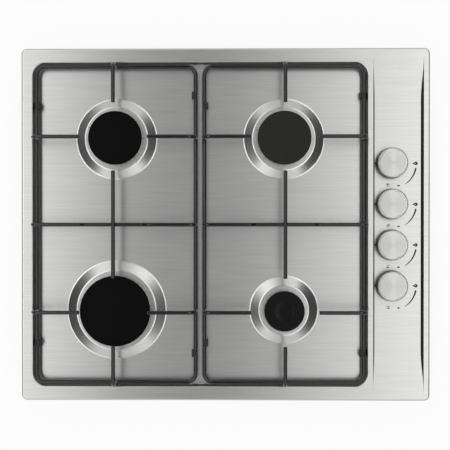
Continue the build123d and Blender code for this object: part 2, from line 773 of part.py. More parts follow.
# ---- Controls ---------------------------------------------------------------------------------
def make_knob(y):
    """Moulded knob: tapered skirt, recess for the disc, pointer notch, hub with a D-shaped bore."""
    top_radius = knob_radius - knob_taper
    inner_z = knob_top_z - knob_roof
    skirt = knob_radius - knob_wall
    with BuildPart() as knob:
        with BuildSketch(upright(knob_x, y)):
            with BuildLine():
                Polyline(
                    (0, hub_z), (knob_hub, hub_z), (knob_hub, inner_z),
                    (skirt, inner_z), (skirt, knob_z),
                    (knob_radius, knob_z), (top_radius, knob_top_z - knob_edge),
                    (top_radius - knob_edge, knob_top_z), (disc_radius + fit, knob_top_z),
                    (disc_radius + fit, knob_top_z - disc_recess), (0, knob_top_z - disc_recess),
                    close=True,
                )
            make_face()
        revolve(axis=Axis((knob_x, y, 0), (0, 0, 1)))
        with BuildSketch(Plane.XY.offset(hub_z)):
            with Locations((knob_x, y)):
                with PolarLocations((knob_hub + skirt) / 2, knob_ribs, start_angle=knob_rib_angle):
                    Rectangle(skirt - knob_hub + 2 * merge, knob_rib)
        extrude(amount=inner_z - hub_z)
        with BuildSketch(Plane.XY.offset(hub_z)):
            with Locations((knob_x, y)):
                Circle(spindle_radius + fit)
            with Locations((knob_x - spindle_flat - fit, y)):
                Rectangle(spindle_radius * 2, spindle_radius * 4,
                          align=(Align.MAX, Align.CENTER), mode=Mode.SUBTRACT)
        extrude(amount=spindle_top_z + fit - hub_z, mode=Mode.SUBTRACT)
        with Locations((knob_x - knob_radius, y, knob_top_z)):
            Box(pointer_length, pointer_width, 2 * pointer_depth, mode=Mode.SUBTRACT)
    return knob


def make_disc(y):
    """Spun aluminium disc in the knob's face: a very flat cone with a turned edge."""
    floor_z = knob_top_z - disc_recess
    top_z = floor_z + disc_thickness
    bead = disc_radius - disc_edge_run
    groove = bead - disc_bead
    return turned(
        knob_x, y,
        (0, floor_z), (disc_radius, floor_z), (disc_radius, top_z - disc_edge_drop),
        (bead, top_z), (groove, top_z), (groove - disc_groove_run, top_z - disc_groove_drop),
        (0, top_z - disc_middle_drop),
    )


def make_spindle(y):
    """Tap spindle: D-shaped top in the knob, collar for the switch, tang in the plug's slot."""
    collar_top_z = collar_z + collar_thickness
    with BuildPart() as spindle:
        with BuildSketch(upright(knob_x, y)):
            with BuildLine():
                Polyline(
                    (0, shank_z), (spindle_radius, shank_z),
                    (spindle_radius, collar_z), (collar_radius, collar_z),
                    (collar_radius, collar_top_z), (spindle_radius, collar_top_z),
                    (spindle_radius, spindle_top_z), (0, spindle_top_z),
                    close=True,
                )
            make_face()
        revolve(axis=Axis((knob_x, y, 0), (0, 0, 1)))
        with BuildSketch(Plane.XY.offset(knob_z - knob_clearance)):
            with Locations((knob_x - spindle_flat, y)):
                Rectangle(spindle_radius, spindle_radius * 3, align=(Align.MAX, Align.CENTER))
        extrude(amount=spindle_grip + knob_clearance, mode=Mode.SUBTRACT)
        with BuildSketch(Plane.XY.offset(tang_z)):
            with Locations((knob_x, y)):
                Rectangle(tang_width, tang_thickness)
        extrude(amount=shank_z - tang_z)
    return spindle


def make_plug(y):
    """Conical plug that meters the gas: slot for the tang, and a cross bore in line with the outlet."""
    with BuildPart() as plug:
        add(turned(
            knob_x, y,
            (0, plug_bottom_z), (plug_bottom_radius, plug_bottom_z),
            (plug_top_radius, plug_top_z), (0, plug_top_z),
        ))
        with BuildSketch(Plane.XY.offset(plug_top_z)):
            with Locations((knob_x, y)):
                Rectangle(tang_width + 2 * tang_fit, tang_thickness + 2 * tang_fit)
        extrude(amount=tang_z - push_travel - plug_end_gap - plug_top_z, mode=Mode.SUBTRACT)
    return plug


def make_tap(y):
    """Tap body: conical seat for the plug, neck for the spindle, outlet boss, and yoke on the rail."""
    seat_bottom = plug_bottom_z - plug_end_gap
    seat_top = plug_top_z + plug_end_gap
    yoke_end = rail_x + rail_radius + yoke_cover
    with BuildPart() as tap:
        with BuildSketch(upright(knob_x, y)):
            with BuildLine():
                Polyline(
                    (0, tap_bottom_z), (tap_radius, tap_bottom_z), (tap_radius, tap_top_z),
                    (neck_radius, tap_top_z), (neck_radius, neck_top_z), (0, neck_top_z),
                    close=True,
                )
            make_face()
        revolve(axis=Axis((knob_x, y, 0), (0, 0, 1)))
        with BuildSketch(Plane.YZ.offset(knob_x)):
            with Locations((y, gas_z)):
                Circle(outlet_radius)
        extrude(amount=-outlet_reach)
        with BuildSketch(Plane.XZ.offset(-y - yoke_width / 2)):
            with Locations(((knob_x + yoke_end) / 2, (casing_steel + tap_top_z) / 2)):
                Rectangle(yoke_end - knob_x, tap_top_z - casing_steel)
            with Locations((rail_x, gas_z)):
                Circle(rail_radius + fit, mode=Mode.SUBTRACT)
        extrude(amount=yoke_width)
        add(turned(
            knob_x, y,
            (0, seat_bottom), (plug_bottom_radius + fit, seat_bottom),
            (plug_top_radius + fit, seat_top), (spindle_radius + fit, seat_top),
            (spindle_radius + fit, neck_top_z + past), (0, neck_top_z + past),
        ), mode=Mode.SUBTRACT)
        with BuildSketch(Plane.YZ.offset(knob_x - outlet_reach)):
            with Locations((y, gas_z)):
                Circle(tube_radius + fit)
        extrude(amount=tube_insert, mode=Mode.SUBTRACT)
        with BuildSketch(Plane.YZ.offset(knob_x - outlet_reach)):
            with Locations((y, gas_z)):
                Circle(gas_passage)
        extrude(amount=rail_x - knob_x + outlet_reach, mode=Mode.SUBTRACT)
    return tap


def make_switch(y):
    """Ignition switch clipped on a tap's neck: its plunger stands just under the pushed-in collar."""
    plunger_top = collar_z - push_travel - soft_gap
    body_x = knob_x - switch_reach + switch_body / 2
    with BuildPart() as switch:
        with BuildSketch(Plane.XY.offset(tap_top_z)):
            with Locations(((2 * knob_x - switch_reach + tap_radius) / 2, y)):
                Rectangle(switch_reach + tap_radius, switch_plate_width)
            with Locations((knob_x, y)):
                Circle(neck_radius + fit, mode=Mode.SUBTRACT)
        extrude(amount=switch_plate)
        with BuildSketch(Plane.XY.offset(tap_top_z)):
            with Locations((body_x, y)):
                Rectangle(switch_body, switch_width)
        extrude(amount=switch_height)
        with BuildSketch(Plane.XY.offset(tap_top_z)):
            with Locations((knob_x - plunger_x, y)):
                Circle(plunger_radius)
        extrude(amount=plunger_top - tap_top_z)
    return switch


for index, y in enumerate(knob_ys, start=1):
    save(make_knob(y), f"knob_{index}")
    save(make_disc(y), f"knob_disc_{index}")
    save(make_spindle(y), f"tap_spindle_{index}")
    save(make_plug(y), f"tap_plug_{index}")
    save(make_tap(y), f"gas_tap_{index}")

with BuildPart() as ignition_switches:
    for y in knob_ys:
        add(make_switch(y))
save(ignition_switches, "ignition_switches")

with BuildPart() as spindle_seals:
    bore = spindle_radius + soft_gap
    for y in knob_ys:
        add(turned(
            knob_x, y,
            (bore, seal_bottom_z), (seal_flange, seal_bottom_z), (seal_flange, strip_z - steel),
            (seal_hole - fit, strip_z - steel), (seal_hole - fit, strip_z), (seal_flange, strip_z),
            (seal_flange, strip_z + seal_lip / 2), (seal_flange - seal_lip, strip_z + seal_lip),
            (bore, strip_z + seal_lip),
        ))
save(spindle_seals, "spindle_seals")

# ---- Gas way ----------------------------------------------------------------------------------
rail_front = knob_ys[-1] - rail_front_reach
fitting_y = casing_depth / 2 + inlet_hex_show - inlet_hex_length
rail_rear = fitting_y + inlet_socket
with BuildPart() as gas_manifold:
    with BuildSketch(Plane.XZ.offset(-rail_front)):
        with Locations((rail_x, gas_z)):
            Circle(rail_radius)
    extrude(amount=rail_front - rail_rear)
    with BuildSketch(Plane.XZ.offset(-rail_rear)):
        with Locations((rail_x, gas_z)):
            Circle(rail_radius - rail_wall)
    extrude(amount=rail_rear - rail_front - rail_wall, mode=Mode.SUBTRACT)
    for y in knob_ys:
        with BuildSketch(Plane.YZ.offset(rail_x)):
            with Locations((y, gas_z)):
                Circle(gas_passage)
        extrude(amount=-(rail_radius + past), mode=Mode.SUBTRACT)
save(gas_manifold, "gas_manifold")

with BuildPart() as gas_inlet_fitting:
    with BuildSketch(Plane.XZ.offset(-fitting_y)):
        with Locations((rail_x, gas_z)):
            RegularPolygon(inlet_hex, 6, rotation=hex_turn)
    extrude(amount=-inlet_hex_length)
    with BuildSketch(Plane.XZ.offset(-fitting_y)):
        with Locations((rail_x, gas_z)):
            Circle(inlet_thread_radius)
    extrude(amount=-(inlet_hex_length + inlet_reach))
    with BuildSketch(Plane.XZ.offset(-fitting_y)):
        with Locations((rail_x, gas_z)):
            Circle(inlet_bore)
    extrude(amount=-(inlet_hex_length + inlet_reach), mode=Mode.SUBTRACT)
    with BuildSketch(Plane.XZ.offset(-fitting_y)):
        with Locations((rail_x, gas_z)):
            Circle(rail_radius + fit)
    extrude(amount=-inlet_socket, mode=Mode.SUBTRACT)
save(gas_inlet_fitting, "gas_inlet_fitting")

nut_places = []
for burner in burners:
    tap_y = knob_ys[knob_of_burner[burner.name]]
    start_x = knob_x - outlet_reach + tube_insert
    end_x = burner.x + gas_boss_reach - tube_insert
    turn_x = end_x + 2 * tube_bend + nut_length
    with BuildPart() as supply_tube:
        with BuildLine() as route:
            FilletPolyline(
                (start_x, tap_y, gas_z), (turn_x, tap_y, gas_z),
                (turn_x, burner.y, gas_z), (end_x, burner.y, gas_z),
                radius=tube_bend,
            )
        with BuildSketch(Plane(origin=(start_x, tap_y, gas_z), z_dir=(-1, 0, 0))):
            Circle(tube_radius)
            Circle(tube_radius - tube_wall, mode=Mode.SUBTRACT)
        sweep(path=route.wire())
    save(supply_tube, f"supply_tube_{burner.name}")
    nut_places.append((knob_x - outlet_reach, tap_y, -nut_length))
    nut_places.append((burner.x + gas_boss_reach, burner.y, nut_length))

with BuildPart() as tube_nuts:
    for x, y, length in nut_places:
        with BuildSketch(Plane.YZ.offset(x)):
            with Locations((y, gas_z)):
                RegularPolygon(nut_radius, 6)
                Circle(tube_radius + fit, mode=Mode.SUBTRACT)
        extrude(amount=length)
save(tube_nuts, "tube_nuts")

# ---- Ignition and mains -----------------------------------------------------------------------
generator_sockets = {
    "rear_left": (generator_x - generator_width / 2, side_socket_y),
    "front_left": (generator_x - generator_width / 2, -side_socket_y),
    "rear_right": (generator_x, generator_depth / 2),
    "front_right": (generator_x, -generator_depth / 2),
}
with BuildPart() as spark_generator:
    with BuildSketch(Plane.XY.offset(casing_steel)):
        with Locations((generator_x, 0)):
            RectangleRounded(generator_width, generator_depth, generator_round)
    extrude(amount=generator_height)
    fillet(spark_generator.faces().sort_by(Axis.Z)[-1].edges(), generator_round / 2)
    for burner in burners:
        socket_x, socket_y = generator_sockets[burner.name]
        inward = (1, 0, 0) if burner.x < 0 else (0, -1 if burner.y > 0 else 1, 0)
        with BuildSketch(Plane(origin=(socket_x, socket_y, lead_z), z_dir=inward)):
            Circle(lead_radius + fit)
        extrude(amount=socket_depth, mode=Mode.SUBTRACT)
save(spark_generator, "spark_generator")

with BuildPart() as ignition_leads:
    for burner in burners:
        spot_x, spot_y = electrode_spot(burner)
        socket_x, socket_y = generator_sockets[burner.name]
        row = 1 if burner.y > 0 else -1
        if burner.x < 0:
            approach = (socket_x - lead_side_approach, socket_y)
            inside = (socket_x + socket_depth, socket_y)
        else:
            approach = (socket_x, socket_y + row * lead_edge_approach)
            inside = (socket_x, socket_y - row * socket_depth)
        boot_bottom = ceramic_bottom_z - boot_length
        with BuildLine() as route:
            FilletPolyline(
                (spot_x, spot_y, boot_bottom), (spot_x, spot_y, lead_z),
                (*approach, lead_z), (*inside, lead_z),
                radius=lead_bend,
            )
        with BuildSketch(Plane(origin=(spot_x, spot_y, boot_bottom), z_dir=(0, 0, -1))):
            Circle(lead_radius)
        sweep(path=route.wire())
        with Locations((spot_x, spot_y, boot_bottom)):
            Cylinder(boot_radius, boot_length, align=(Align.CENTER, Align.CENTER, Align.MIN))
        with Locations((spot_x, spot_y, ceramic_bottom_z)):
            Hole(pin_radius + fit, depth=pin_tail + fit)
save(ignition_leads, "ignition_leads")

terminal_y = casing_inner_y - terminal_wall_gap - terminal_depth / 2
with BuildPart() as terminal_block:
    with BuildSketch(Plane.XY.offset(casing_steel)):
        with Locations((terminal_x, terminal_y)):
            Rectangle(terminal_width, terminal_depth)
    extrude(amount=terminal_height)
    with Locations((terminal_x, terminal_y, casing_steel + terminal_height)):
        with GridLocations(terminal_pitch, terminal_depth / 2, terminal_poles, 2):
            Hole(terminal_screw, depth=terminal_screw_depth)
save(terminal_block, "terminal_block")

with BuildPart() as cable_grommet:
    wall_y = casing_depth / 2
    with BuildSketch(Plane.XZ.offset(-(casing_inner_y - cable_lip))):
        with Locations((terminal_x, gas_z)):
            Circle(cable_hole - fit)
    extrude(amount=-(casing_steel + 2 * cable_lip))
    for face_y in (casing_inner_y - cable_lip, wall_y):
        with BuildSketch(Plane.XZ.offset(-face_y)):
            with Locations((terminal_x, gas_z)):
                Circle(cable_flange)
        extrude(amount=-cable_lip)
    with BuildSketch(Plane.XZ.offset(-(casing_inner_y - cable_lip))):
        with Locations((terminal_x, gas_z)):
            Circle(cable_bore)
    extrude(amount=-(casing_steel + 2 * cable_lip), mode=Mode.SUBTRACT)
save(cable_grommet, "cable_grommet")

# ---- Casing and fixings -----------------------------------------------------------------------
with BuildPart() as bottom_casing:
    with BuildSketch():
        RectangleRounded(casing_width, casing_depth, casing_corner)
    extrude(amount=casing_top_z)
    fillet(bottom_casing.faces().sort_by(Axis.Z)[0].edges(), casing_bend)
    offset(amount=-casing_steel, openings=bottom_casing.faces().sort_by(Axis.Z)[-1])
    for floor_face, mode in ((casing_steel, Mode.ADD), (0, Mode.SUBTRACT)):
        with BuildSketch(Plane.XY.offset(floor_face)):
            with Locations([(x, 0) for x in bead_x]):
                SlotOverall(casing_depth - 2 * casing_bead_end, casing_bead_width, rotation=90)
        extrude(amount=casing_bead_depth, taper=casing_bead_lean, mode=mode)
    with BuildSketch(Plane.XY.offset(casing_top_z)):
        with Locations((casing_width / 2 - casing_steel / 2, 0)):
            Rectangle(casing_steel, casing_skirt)
    extrude(amount=strip_z - steel - casing_top_z)
    for side in (-1, 1):
        with BuildSketch(Plane.XZ.offset(-side * casing_inner_y)):
            with Locations([(x, lug_screw_z) for x in lug_x]):
                Circle(screw_radius + screw_fit)
            with Locations([(x, clamp_screw_z) for x in clamp_x]):
                Circle(screw_radius + screw_fit)
        extrude(amount=-side * (casing_steel + past), mode=Mode.SUBTRACT)
    with BuildSketch(Plane.XZ.offset(-casing_inner_y)):
        with Locations((rail_x, gas_z)):
            Circle(inlet_hex + screw_fit)
        with Locations((terminal_x, gas_z)):
            Circle(cable_hole)
        with Locations((well_centre_x, gas_z)):
            with GridLocations(vent_pitch, vent_pitch, vent_count, 1):
                SlotOverall(vent_length, vent_width, rotation=90)
    extrude(amount=-(casing_steel + past), mode=Mode.SUBTRACT)
save(bottom_casing, "bottom_casing")

with BuildPart() as casing_lugs:
    for side in (-1, 1):
        for x in lug_x:
            wall_y = side * casing_inner_y
            with BuildSketch(Plane.YZ.offset(x - lug_width / 2)):
                with BuildLine():
                    Polyline(
                        (wall_y, casing_top_z), (wall_y, casing_top_z - lug_height),
                        (wall_y - side * lug_steel, casing_top_z - lug_height),
                        (wall_y - side * lug_steel, casing_top_z - lug_steel),
                        (wall_y - side * lug_reach, casing_top_z - lug_steel),
                        (wall_y - side * lug_reach, casing_top_z),
                        close=True,
                    )
                make_face()
            extrude(amount=lug_width)
            with BuildSketch(Plane.XZ.offset(-wall_y)):
                with Locations((x, lug_screw_z)):
                    Circle(screw_radius + fit)
            extrude(amount=side * lug_steel, mode=Mode.SUBTRACT)
save(casing_lugs, "casing_lugs")


def side_screws(places, head_y, length):
    """Screws driven inwards through both long walls, with their heads' seats at head_y."""
    with BuildPart() as screws:
        for side in (-1, 1):
            with BuildSketch(Plane.XZ.offset(-side * head_y)):
                with Locations(places):
                    Circle(screw_head)
            extrude(amount=-side * screw_head_height)
            with BuildSketch(Plane.XZ.offset(-side * head_y)):
                with Locations(places):
                    Circle(screw_radius)
            extrude(amount=side * length)
    return screws


save(side_screws([(x, lug_screw_z) for x in lug_x], casing_depth / 2, casing_screw_length), "casing_screws")

with BuildPart() as fixing_clamps:
    for side in (-1, 1):
        for x in clamp_x:
            wall_y = side * casing_depth / 2
            with BuildSketch(Plane.YZ.offset(x - clamp_width / 2)):
                with BuildLine():
                    Polyline(
                        (wall_y, clamp_foot_z), (wall_y, clamp_top_z),
                        (wall_y + side * clamp_reach, clamp_top_z),
                        (wall_y + side * clamp_reach, clamp_top_z - clamp_steel),
                        (wall_y + side * clamp_steel, clamp_top_z - clamp_steel),
                        (wall_y + side * clamp_steel, clamp_foot_z),
                        close=True,
                    )
                make_face()
            extrude(amount=clamp_width)
            with BuildSketch(Plane.XZ.offset(-wall_y)):
                with Locations((x, clamp_screw_z)):
                    Circle(screw_radius + fit)
            extrude(amount=-side * clamp_steel, mode=Mode.SUBTRACT)
save(fixing_clamps, "fixing_clamps")

clamp_seat = casing_depth / 2 + clamp_steel
save(side_screws([(x, clamp_screw_z) for x in clamp_x], clamp_seat, clamp_screw_length), "clamp_screws")
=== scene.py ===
# %% [markdown]
# # A gas cooktop: from a bare model to a picture
# The cooktop's pieces are already modelled at their real size: one pressed steel top, four burners,
# two wire pan supports, four knobs and what lies under them. Here each piece gets its finish. A few
# things that a welder, a screw maker or a print shop adds, such as the marks beside the knobs, are
# made as new surfaces. The model is loaded first and never moved, so new pieces can be placed by its
# own numbers.

# %% Load the cooktop
import json
import bmesh
import bpy
import numpy as np
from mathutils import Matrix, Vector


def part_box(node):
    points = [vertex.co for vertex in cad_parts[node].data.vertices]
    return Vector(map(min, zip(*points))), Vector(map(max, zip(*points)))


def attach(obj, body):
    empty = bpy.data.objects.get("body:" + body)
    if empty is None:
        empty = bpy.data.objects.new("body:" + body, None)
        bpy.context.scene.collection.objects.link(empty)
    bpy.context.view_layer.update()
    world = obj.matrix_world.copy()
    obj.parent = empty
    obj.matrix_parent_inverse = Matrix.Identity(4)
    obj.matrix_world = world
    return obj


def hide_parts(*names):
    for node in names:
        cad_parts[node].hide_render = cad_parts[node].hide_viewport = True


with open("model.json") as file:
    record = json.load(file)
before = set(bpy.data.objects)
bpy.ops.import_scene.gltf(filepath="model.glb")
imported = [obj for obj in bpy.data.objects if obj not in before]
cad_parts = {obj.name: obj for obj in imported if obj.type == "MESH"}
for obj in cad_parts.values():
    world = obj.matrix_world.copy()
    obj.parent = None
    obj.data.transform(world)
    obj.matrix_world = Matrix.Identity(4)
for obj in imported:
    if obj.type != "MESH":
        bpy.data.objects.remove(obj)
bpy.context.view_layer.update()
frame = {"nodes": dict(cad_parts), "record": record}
MM = 0.001

# %% [markdown]
# ## Small tools
# Three helpers serve every material. One turns a colour as a painter writes it into the linear
# numbers that light is counted in. One adds a shader node with its settings and links. One starts
# a material, with the numbers that are the same everywhere set on the shader itself.

# %% Colours, nodes and materials
def linear(hex_colour):
    """Linear colour of an sRGB hex colour: the dark part is a straight line, the rest a power of 2.4."""
    value = np.array([int(hex_colour[i:i + 2], 16) for i in (1, 3, 5)]) / 255.0
    bright = ((value + 0.055) / 1.055) ** 2.4
    return (*np.where(value <= 0.04045, value / 12.92, bright).tolist(), 1.0)


def add_node(tree, kind, links=None, values=None, **settings):
    """Add a node: settings are its own, values are set on its sockets, links come from other sockets."""
    node = tree.nodes.new(kind)
    for name, value in settings.items():
        setattr(node, name, value)
    for socket, value in (values or {}).items():
        node.inputs[socket].default_value = value
    for socket, source in (links or {}).items():
        tree.links.new(source, node.inputs[socket])
    return node


def new_material(name, colour, **sockets):
    """Start a material: its colour and the shader's constants, by the names of the sockets."""
    material = bpy.data.materials.new(name)
    material.use_nodes = True
    shader = material.node_tree.nodes["Principled BSDF"]
    shader.inputs["Base Color"].default_value = linear(colour)
    for socket, value in sockets.items():
        shader.inputs[socket.replace("_", " ")].default_value = value
    return material, material.node_tree, shader


print("mid grey as light:", linear("#808080")[:3])

# %% [markdown]
# ### Patterns at a real size
# Every pattern is a noise in the object's own millimetres. Its cell may be long in one direction,
# as a grinding scratch is, or the same all round, as in cast metal. The noise then shifts the
# colour, the roughness or the height of the surface.

# %% Patterns
NOISE_LOW, NOISE_HIGH = 0.35, 0.65      # most of a noise's values lie between these


def object_place(tree):
    """The piece's own coordinates."""
    return add_node(tree, "ShaderNodeTexCoord").outputs["Object"]


def pattern(tree, size_mm, detail=3.0, offset=0.0):
    """Noise whose cell measures size_mm on the piece: one number, or one each for x, y and z."""
    scale = (1.0 / (np.broadcast_to(size_mm, 3) * MM)).tolist()
    space = add_node(tree, "ShaderNodeMapping", {"Vector": object_place(tree)},
                     {"Scale": scale, "Location": (offset, offset, offset)})
    noise = add_node(tree, "ShaderNodeTexNoise", {"Vector": space.outputs["Vector"]},
                     {"Scale": 1.0, "Detail": detail, "Roughness": 0.6})
    return noise.outputs["Fac"]


def shift(tree, fac, low, high, start=NOISE_LOW, end=NOISE_HIGH):
    """Spread the range of a value from start to end over low to high."""
    spread = add_node(tree, "ShaderNodeMapRange", {"Value": fac},
                      {"From Min": start, "From Max": end, "To Min": low, "To Max": high})
    return spread.outputs["Result"]


def tint(tree, shader, fac, dark, light, start=NOISE_LOW, end=NOISE_HIGH):
    """Let the colour wander between two shades with a noise."""
    mix = add_node(tree, "ShaderNodeMix", {0: shift(tree, fac, 0.0, 1.0, start, end)},
                   {6: linear(dark), 7: linear(light)}, data_type="RGBA")
    tree.links.new(mix.outputs[2], shader.inputs["Base Color"])
    return mix.outputs[2]


def relief(tree, shader, height, depth_mm, strength):
    """Raise and sink the surface's shading by a height that spans depth_mm."""
    bump = add_node(tree, "ShaderNodeBump", {"Height": height},
                    {"Distance": depth_mm * MM, "Strength": strength})
    tree.links.new(bump.outputs["Normal"], shader.inputs["Normal"])


def vary_roughness(tree, shader, fac, low, high, start=NOISE_LOW, end=NOISE_HIGH):
    """Let the gloss wander with a noise."""
    tree.links.new(shift(tree, fac, low, high, start, end), shader.inputs["Roughness"])


# %% [markdown]
# ## The pressed top: long-grain brushed stainless steel
# The sheet is ground with a belt that runs from left to right, so it carries thousands of scratches
# along X. They scatter light across their own direction and hardly along it: a reflection is drawn
# out along Y into a long band. A picture of scratches could be laid on the sheet, but the shader
# does it better: its anisotropy stretches the highlight along the tangent, and a constant tangent
# along Y is all it takes. A real scratch is far finer than a pixel, so the streaks in the colour and
# gloss are drawn many times as wide, and faint. On a steep wall the colour is darkened towards a dark
# grey by how far the surface turns away from level: this is painted shade, for the dark reflections
# and the shadow in the wells.

# %% Brushed stainless sheet
WALL_STEEP, WALL_FLAT = 0.45, 0.78      # upward part of the normal on a drawn wall, and on ground sheet
STREAK_MM = (70.0, 1.6, 1.6)
GLOSS_STREAK_MM = (60.0, 2.0, 2.0)
WAVE_MM = (150.0, 90.0, 90.0)           # the slow waves that pressing leaves in a flat sheet


def make_brushed_stainless():
    """Cold-rolled stainless sheet, belt-ground along X: silver grey, with drawn-out reflections."""
    material, tree, shader = new_material(
        "belt_ground_stainless_sheet", "#cbcbca", Metallic=1.0, Roughness=0.3, Anisotropic=0.6)
    across = add_node(tree, "ShaderNodeCombineXYZ", values={"X": 0.0, "Y": 1.0, "Z": 0.0})
    tree.links.new(across.outputs["Vector"], shader.inputs["Tangent"])
    ground = tint(tree, shader, pattern(tree, STREAK_MM, detail=2.0), "#c7c7c6", "#cfcfce")
    # painted shade: faces that turn away from level, the walls of the wells, are darkened towards #5f5f5c
    facing = add_node(tree, "ShaderNodeSeparateXYZ",
                      {"Vector": add_node(tree, "ShaderNodeNewGeometry").outputs["Normal"]})
    wall_shade_share = shift(tree, facing.outputs["Z"], 1.0, 0.0, WALL_STEEP, WALL_FLAT)
    painted_wall_shade = add_node(tree, "ShaderNodeMix", {0: wall_shade_share, 6: ground}, {7: linear("#5f5f5c")}, data_type="RGBA")
    tree.links.new(painted_wall_shade.outputs[2], shader.inputs["Base Color"])
    vary_roughness(tree, shader, pattern(tree, GLOSS_STREAK_MM, offset=7.0), 0.285, 0.315)
    relief(tree, shader, pattern(tree, WAVE_MM, detail=1.0), depth_mm=0.12, strength=0.35)
    return material


finishes = {"brushed_stainless": make_brushed_stainless()}
print("made:", finishes["brushed_stainless"].name)

# %% [markdown]
# ## Vitreous enamel: glass melted on steel
# The pan supports and caps are dipped in a glass slip and fired near 800 degrees. On the round wires
# the glass flows smooth and thick, with a slight ripple, and shows sharp white glints. The caps get
# a matt enamel: fine crystals in the glass break up the gloss, and leave a faint speckle. The rear
# right cap is painted greyer than the others, a painted highlight for the light that it catches, and
# the small front one is smoother, so that its dish shows. Each of the two gets an enamel of its own.

# %% Enamels
def make_gloss_enamel():
    """Black gloss enamel on wire: smooth fired glass with a ripple about 6 mm long."""
    material, tree, shader = new_material(
        "gloss_black_enamel_on_wire", "#060606", Roughness=0.16, IOR=1.52, Specular_IOR_Level=0.6)
    tint(tree, shader, pattern(tree, 1.2), "#030303", "#080808")
    vary_roughness(tree, shader, pattern(tree, 14.0, offset=3.0), 0.12, 0.22)
    relief(tree, shader, pattern(tree, 6.0, detail=1.0), depth_mm=0.10, strength=0.6)
    return material


def make_matt_enamel(name, dark, light, roughness, gloss=0.06):
    """Matt enamel on a pressed cap: a grain of fired crystals, drawn at 1.1 mm so that it shows."""
    material, tree, shader = new_material(name, dark, Roughness=roughness, IOR=1.5, Specular_IOR_Level=gloss)
    tint(tree, shader, pattern(tree, 1.1, detail=2.0), dark, light, start=0.4, end=0.75)
    vary_roughness(tree, shader, pattern(tree, 5.0), roughness - 0.05, roughness + 0.06)
    relief(tree, shader, pattern(tree, 0.9, offset=2.0), depth_mm=0.03, strength=0.5)
    return material


finishes["black_enamel_wire"] = make_gloss_enamel()
finishes["black_enamel_cap"] = make_matt_enamel("matt_black_enamel_on_cap", "#020202", "#090908", 0.45)
cap_enamels = {
    # painted highlight: the rear right cap's enamel is lightened to grey for the light that it catches
    "burner_cap_rear_right": make_matt_enamel("matt_black_enamel_painted_highlight", "#232322", "#343433", 0.52),
    "burner_cap_front_right": make_matt_enamel("satin_black_enamel_on_cap", "#020202", "#080808", 0.3, 0.16),
}
print("enamels:", 2 + len(cap_enamels))

# %% [markdown]
# ## Cast aluminium
# The burner heads and cups are die-cast, which leaves a fine satin skin. The heads are turned after
# casting, so they are brighter than the raw cups. One function makes both, with other shades and
# another roughness.

# %% Cast aluminium
def make_cast_aluminium(name, dark, light, roughness):
    """Die-cast aluminium: a satin skin with a soft mottle about 3 mm across."""
    material, tree, shader = new_material(name, light, Metallic=1.0, Roughness=roughness)
    tint(tree, shader, pattern(tree, 3.0), dark, light)
    vary_roughness(tree, shader, pattern(tree, 1.5), roughness - 0.06, roughness + 0.08)
    relief(tree, shader, pattern(tree, 0.8), depth_mm=0.03, strength=0.4)
    return material


finishes["burner_aluminium"] = make_cast_aluminium("turned_die_cast_aluminium", "#b9b9b6", "#d2d2cf", 0.3)
finishes["cast_aluminium"] = make_cast_aluminium("raw_die_cast_aluminium", "#9b9b99", "#b4b4b1", 0.48)
print("made:", finishes["burner_aluminium"].name, "and", finishes["cast_aluminium"].name)

# %% [markdown]
# ## Spun aluminium
# The discs in the knobs are spun against a felt wheel, so their scratches are circles. Each bit of
# such a disc scatters light outwards from the centre, so its tangent points along the radius, and
# the light zones of the room draw pale and dark wedges that meet in the middle. All four discs share
# one material: it finds the nearest axis from the place of the first knob and the pitch of the row,
# and the middle of a knob's box is its axis.

# %% Spun aluminium
RINGS_PER_METRE = 1800.0


def middle(name):
    """Middle of a piece's box in metres, to the hundredth of a millimetre."""
    low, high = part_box(name)
    return [round(0.5 * (start + end), 5) for start, end in zip(low, high)]


KNOB_SPOTS = [middle(f"knob_{row}") for row in (1, 2, 3, 4)]
KNOB_X = KNOB_SPOTS[0][0]
KNOB_PITCH = round(KNOB_SPOTS[0][1] - KNOB_SPOTS[1][1], 5)


def make_spun_aluminium():
    """Spun disc: grain in circles round the nearest knob's axis, which is half a pitch past a whole one."""
    material, tree, shader = new_material(
        "spun_aluminium_disc", "#c2c2c0", Metallic=1.0, Roughness=0.24, Anisotropic=0.92)
    axes = add_node(tree, "ShaderNodeSeparateXYZ", {"Vector": object_place(tree)})
    out_x = add_node(tree, "ShaderNodeMath", {0: axes.outputs["X"]}, {1: KNOB_X}, operation="SUBTRACT")
    turns = add_node(tree, "ShaderNodeMath", {0: axes.outputs["Y"]}, {1: KNOB_PITCH}, operation="DIVIDE")
    whole = add_node(tree, "ShaderNodeMath", {0: turns.outputs[0]}, operation="FLOOR")
    centre = add_node(tree, "ShaderNodeMath", {0: whole.outputs[0]}, {1: 0.5}, operation="ADD")
    part = add_node(tree, "ShaderNodeMath", {0: turns.outputs[0], 1: centre.outputs[0]}, operation="SUBTRACT")
    out_y = add_node(tree, "ShaderNodeMath", {0: part.outputs[0]}, {1: KNOB_PITCH}, operation="MULTIPLY")
    radial = add_node(tree, "ShaderNodeCombineXYZ", {"X": out_x.outputs[0], "Y": out_y.outputs[0]})
    world_radial = add_node(tree, "ShaderNodeVectorTransform", {"Vector": radial.outputs["Vector"]},
                            vector_type="VECTOR", convert_from="OBJECT", convert_to="WORLD")
    tree.links.new(world_radial.outputs["Vector"], shader.inputs["Tangent"])
    reach = add_node(tree, "ShaderNodeVectorMath", {0: radial.outputs["Vector"]}, operation="LENGTH")
    rings = add_node(tree, "ShaderNodeTexNoise", {"W": reach.outputs["Value"]},
                     {"Scale": RINGS_PER_METRE, "Detail": 2.0}, noise_dimensions="1D")
    tint(tree, shader, rings.outputs["Fac"], "#babab8", "#c9c9c7")
    return material


finishes["spun_aluminium"] = make_spun_aluminium()
print("made:", finishes["spun_aluminium"].name, "knobs:", KNOB_SPOTS)

# %% [markdown]
# ## The knobs' skirts
# The knobs are moulded in black and sprayed silver from above. The paint covers the rim and thins
# out down the skirt, so the cover follows the height, with a speck of noise to break up its edge.

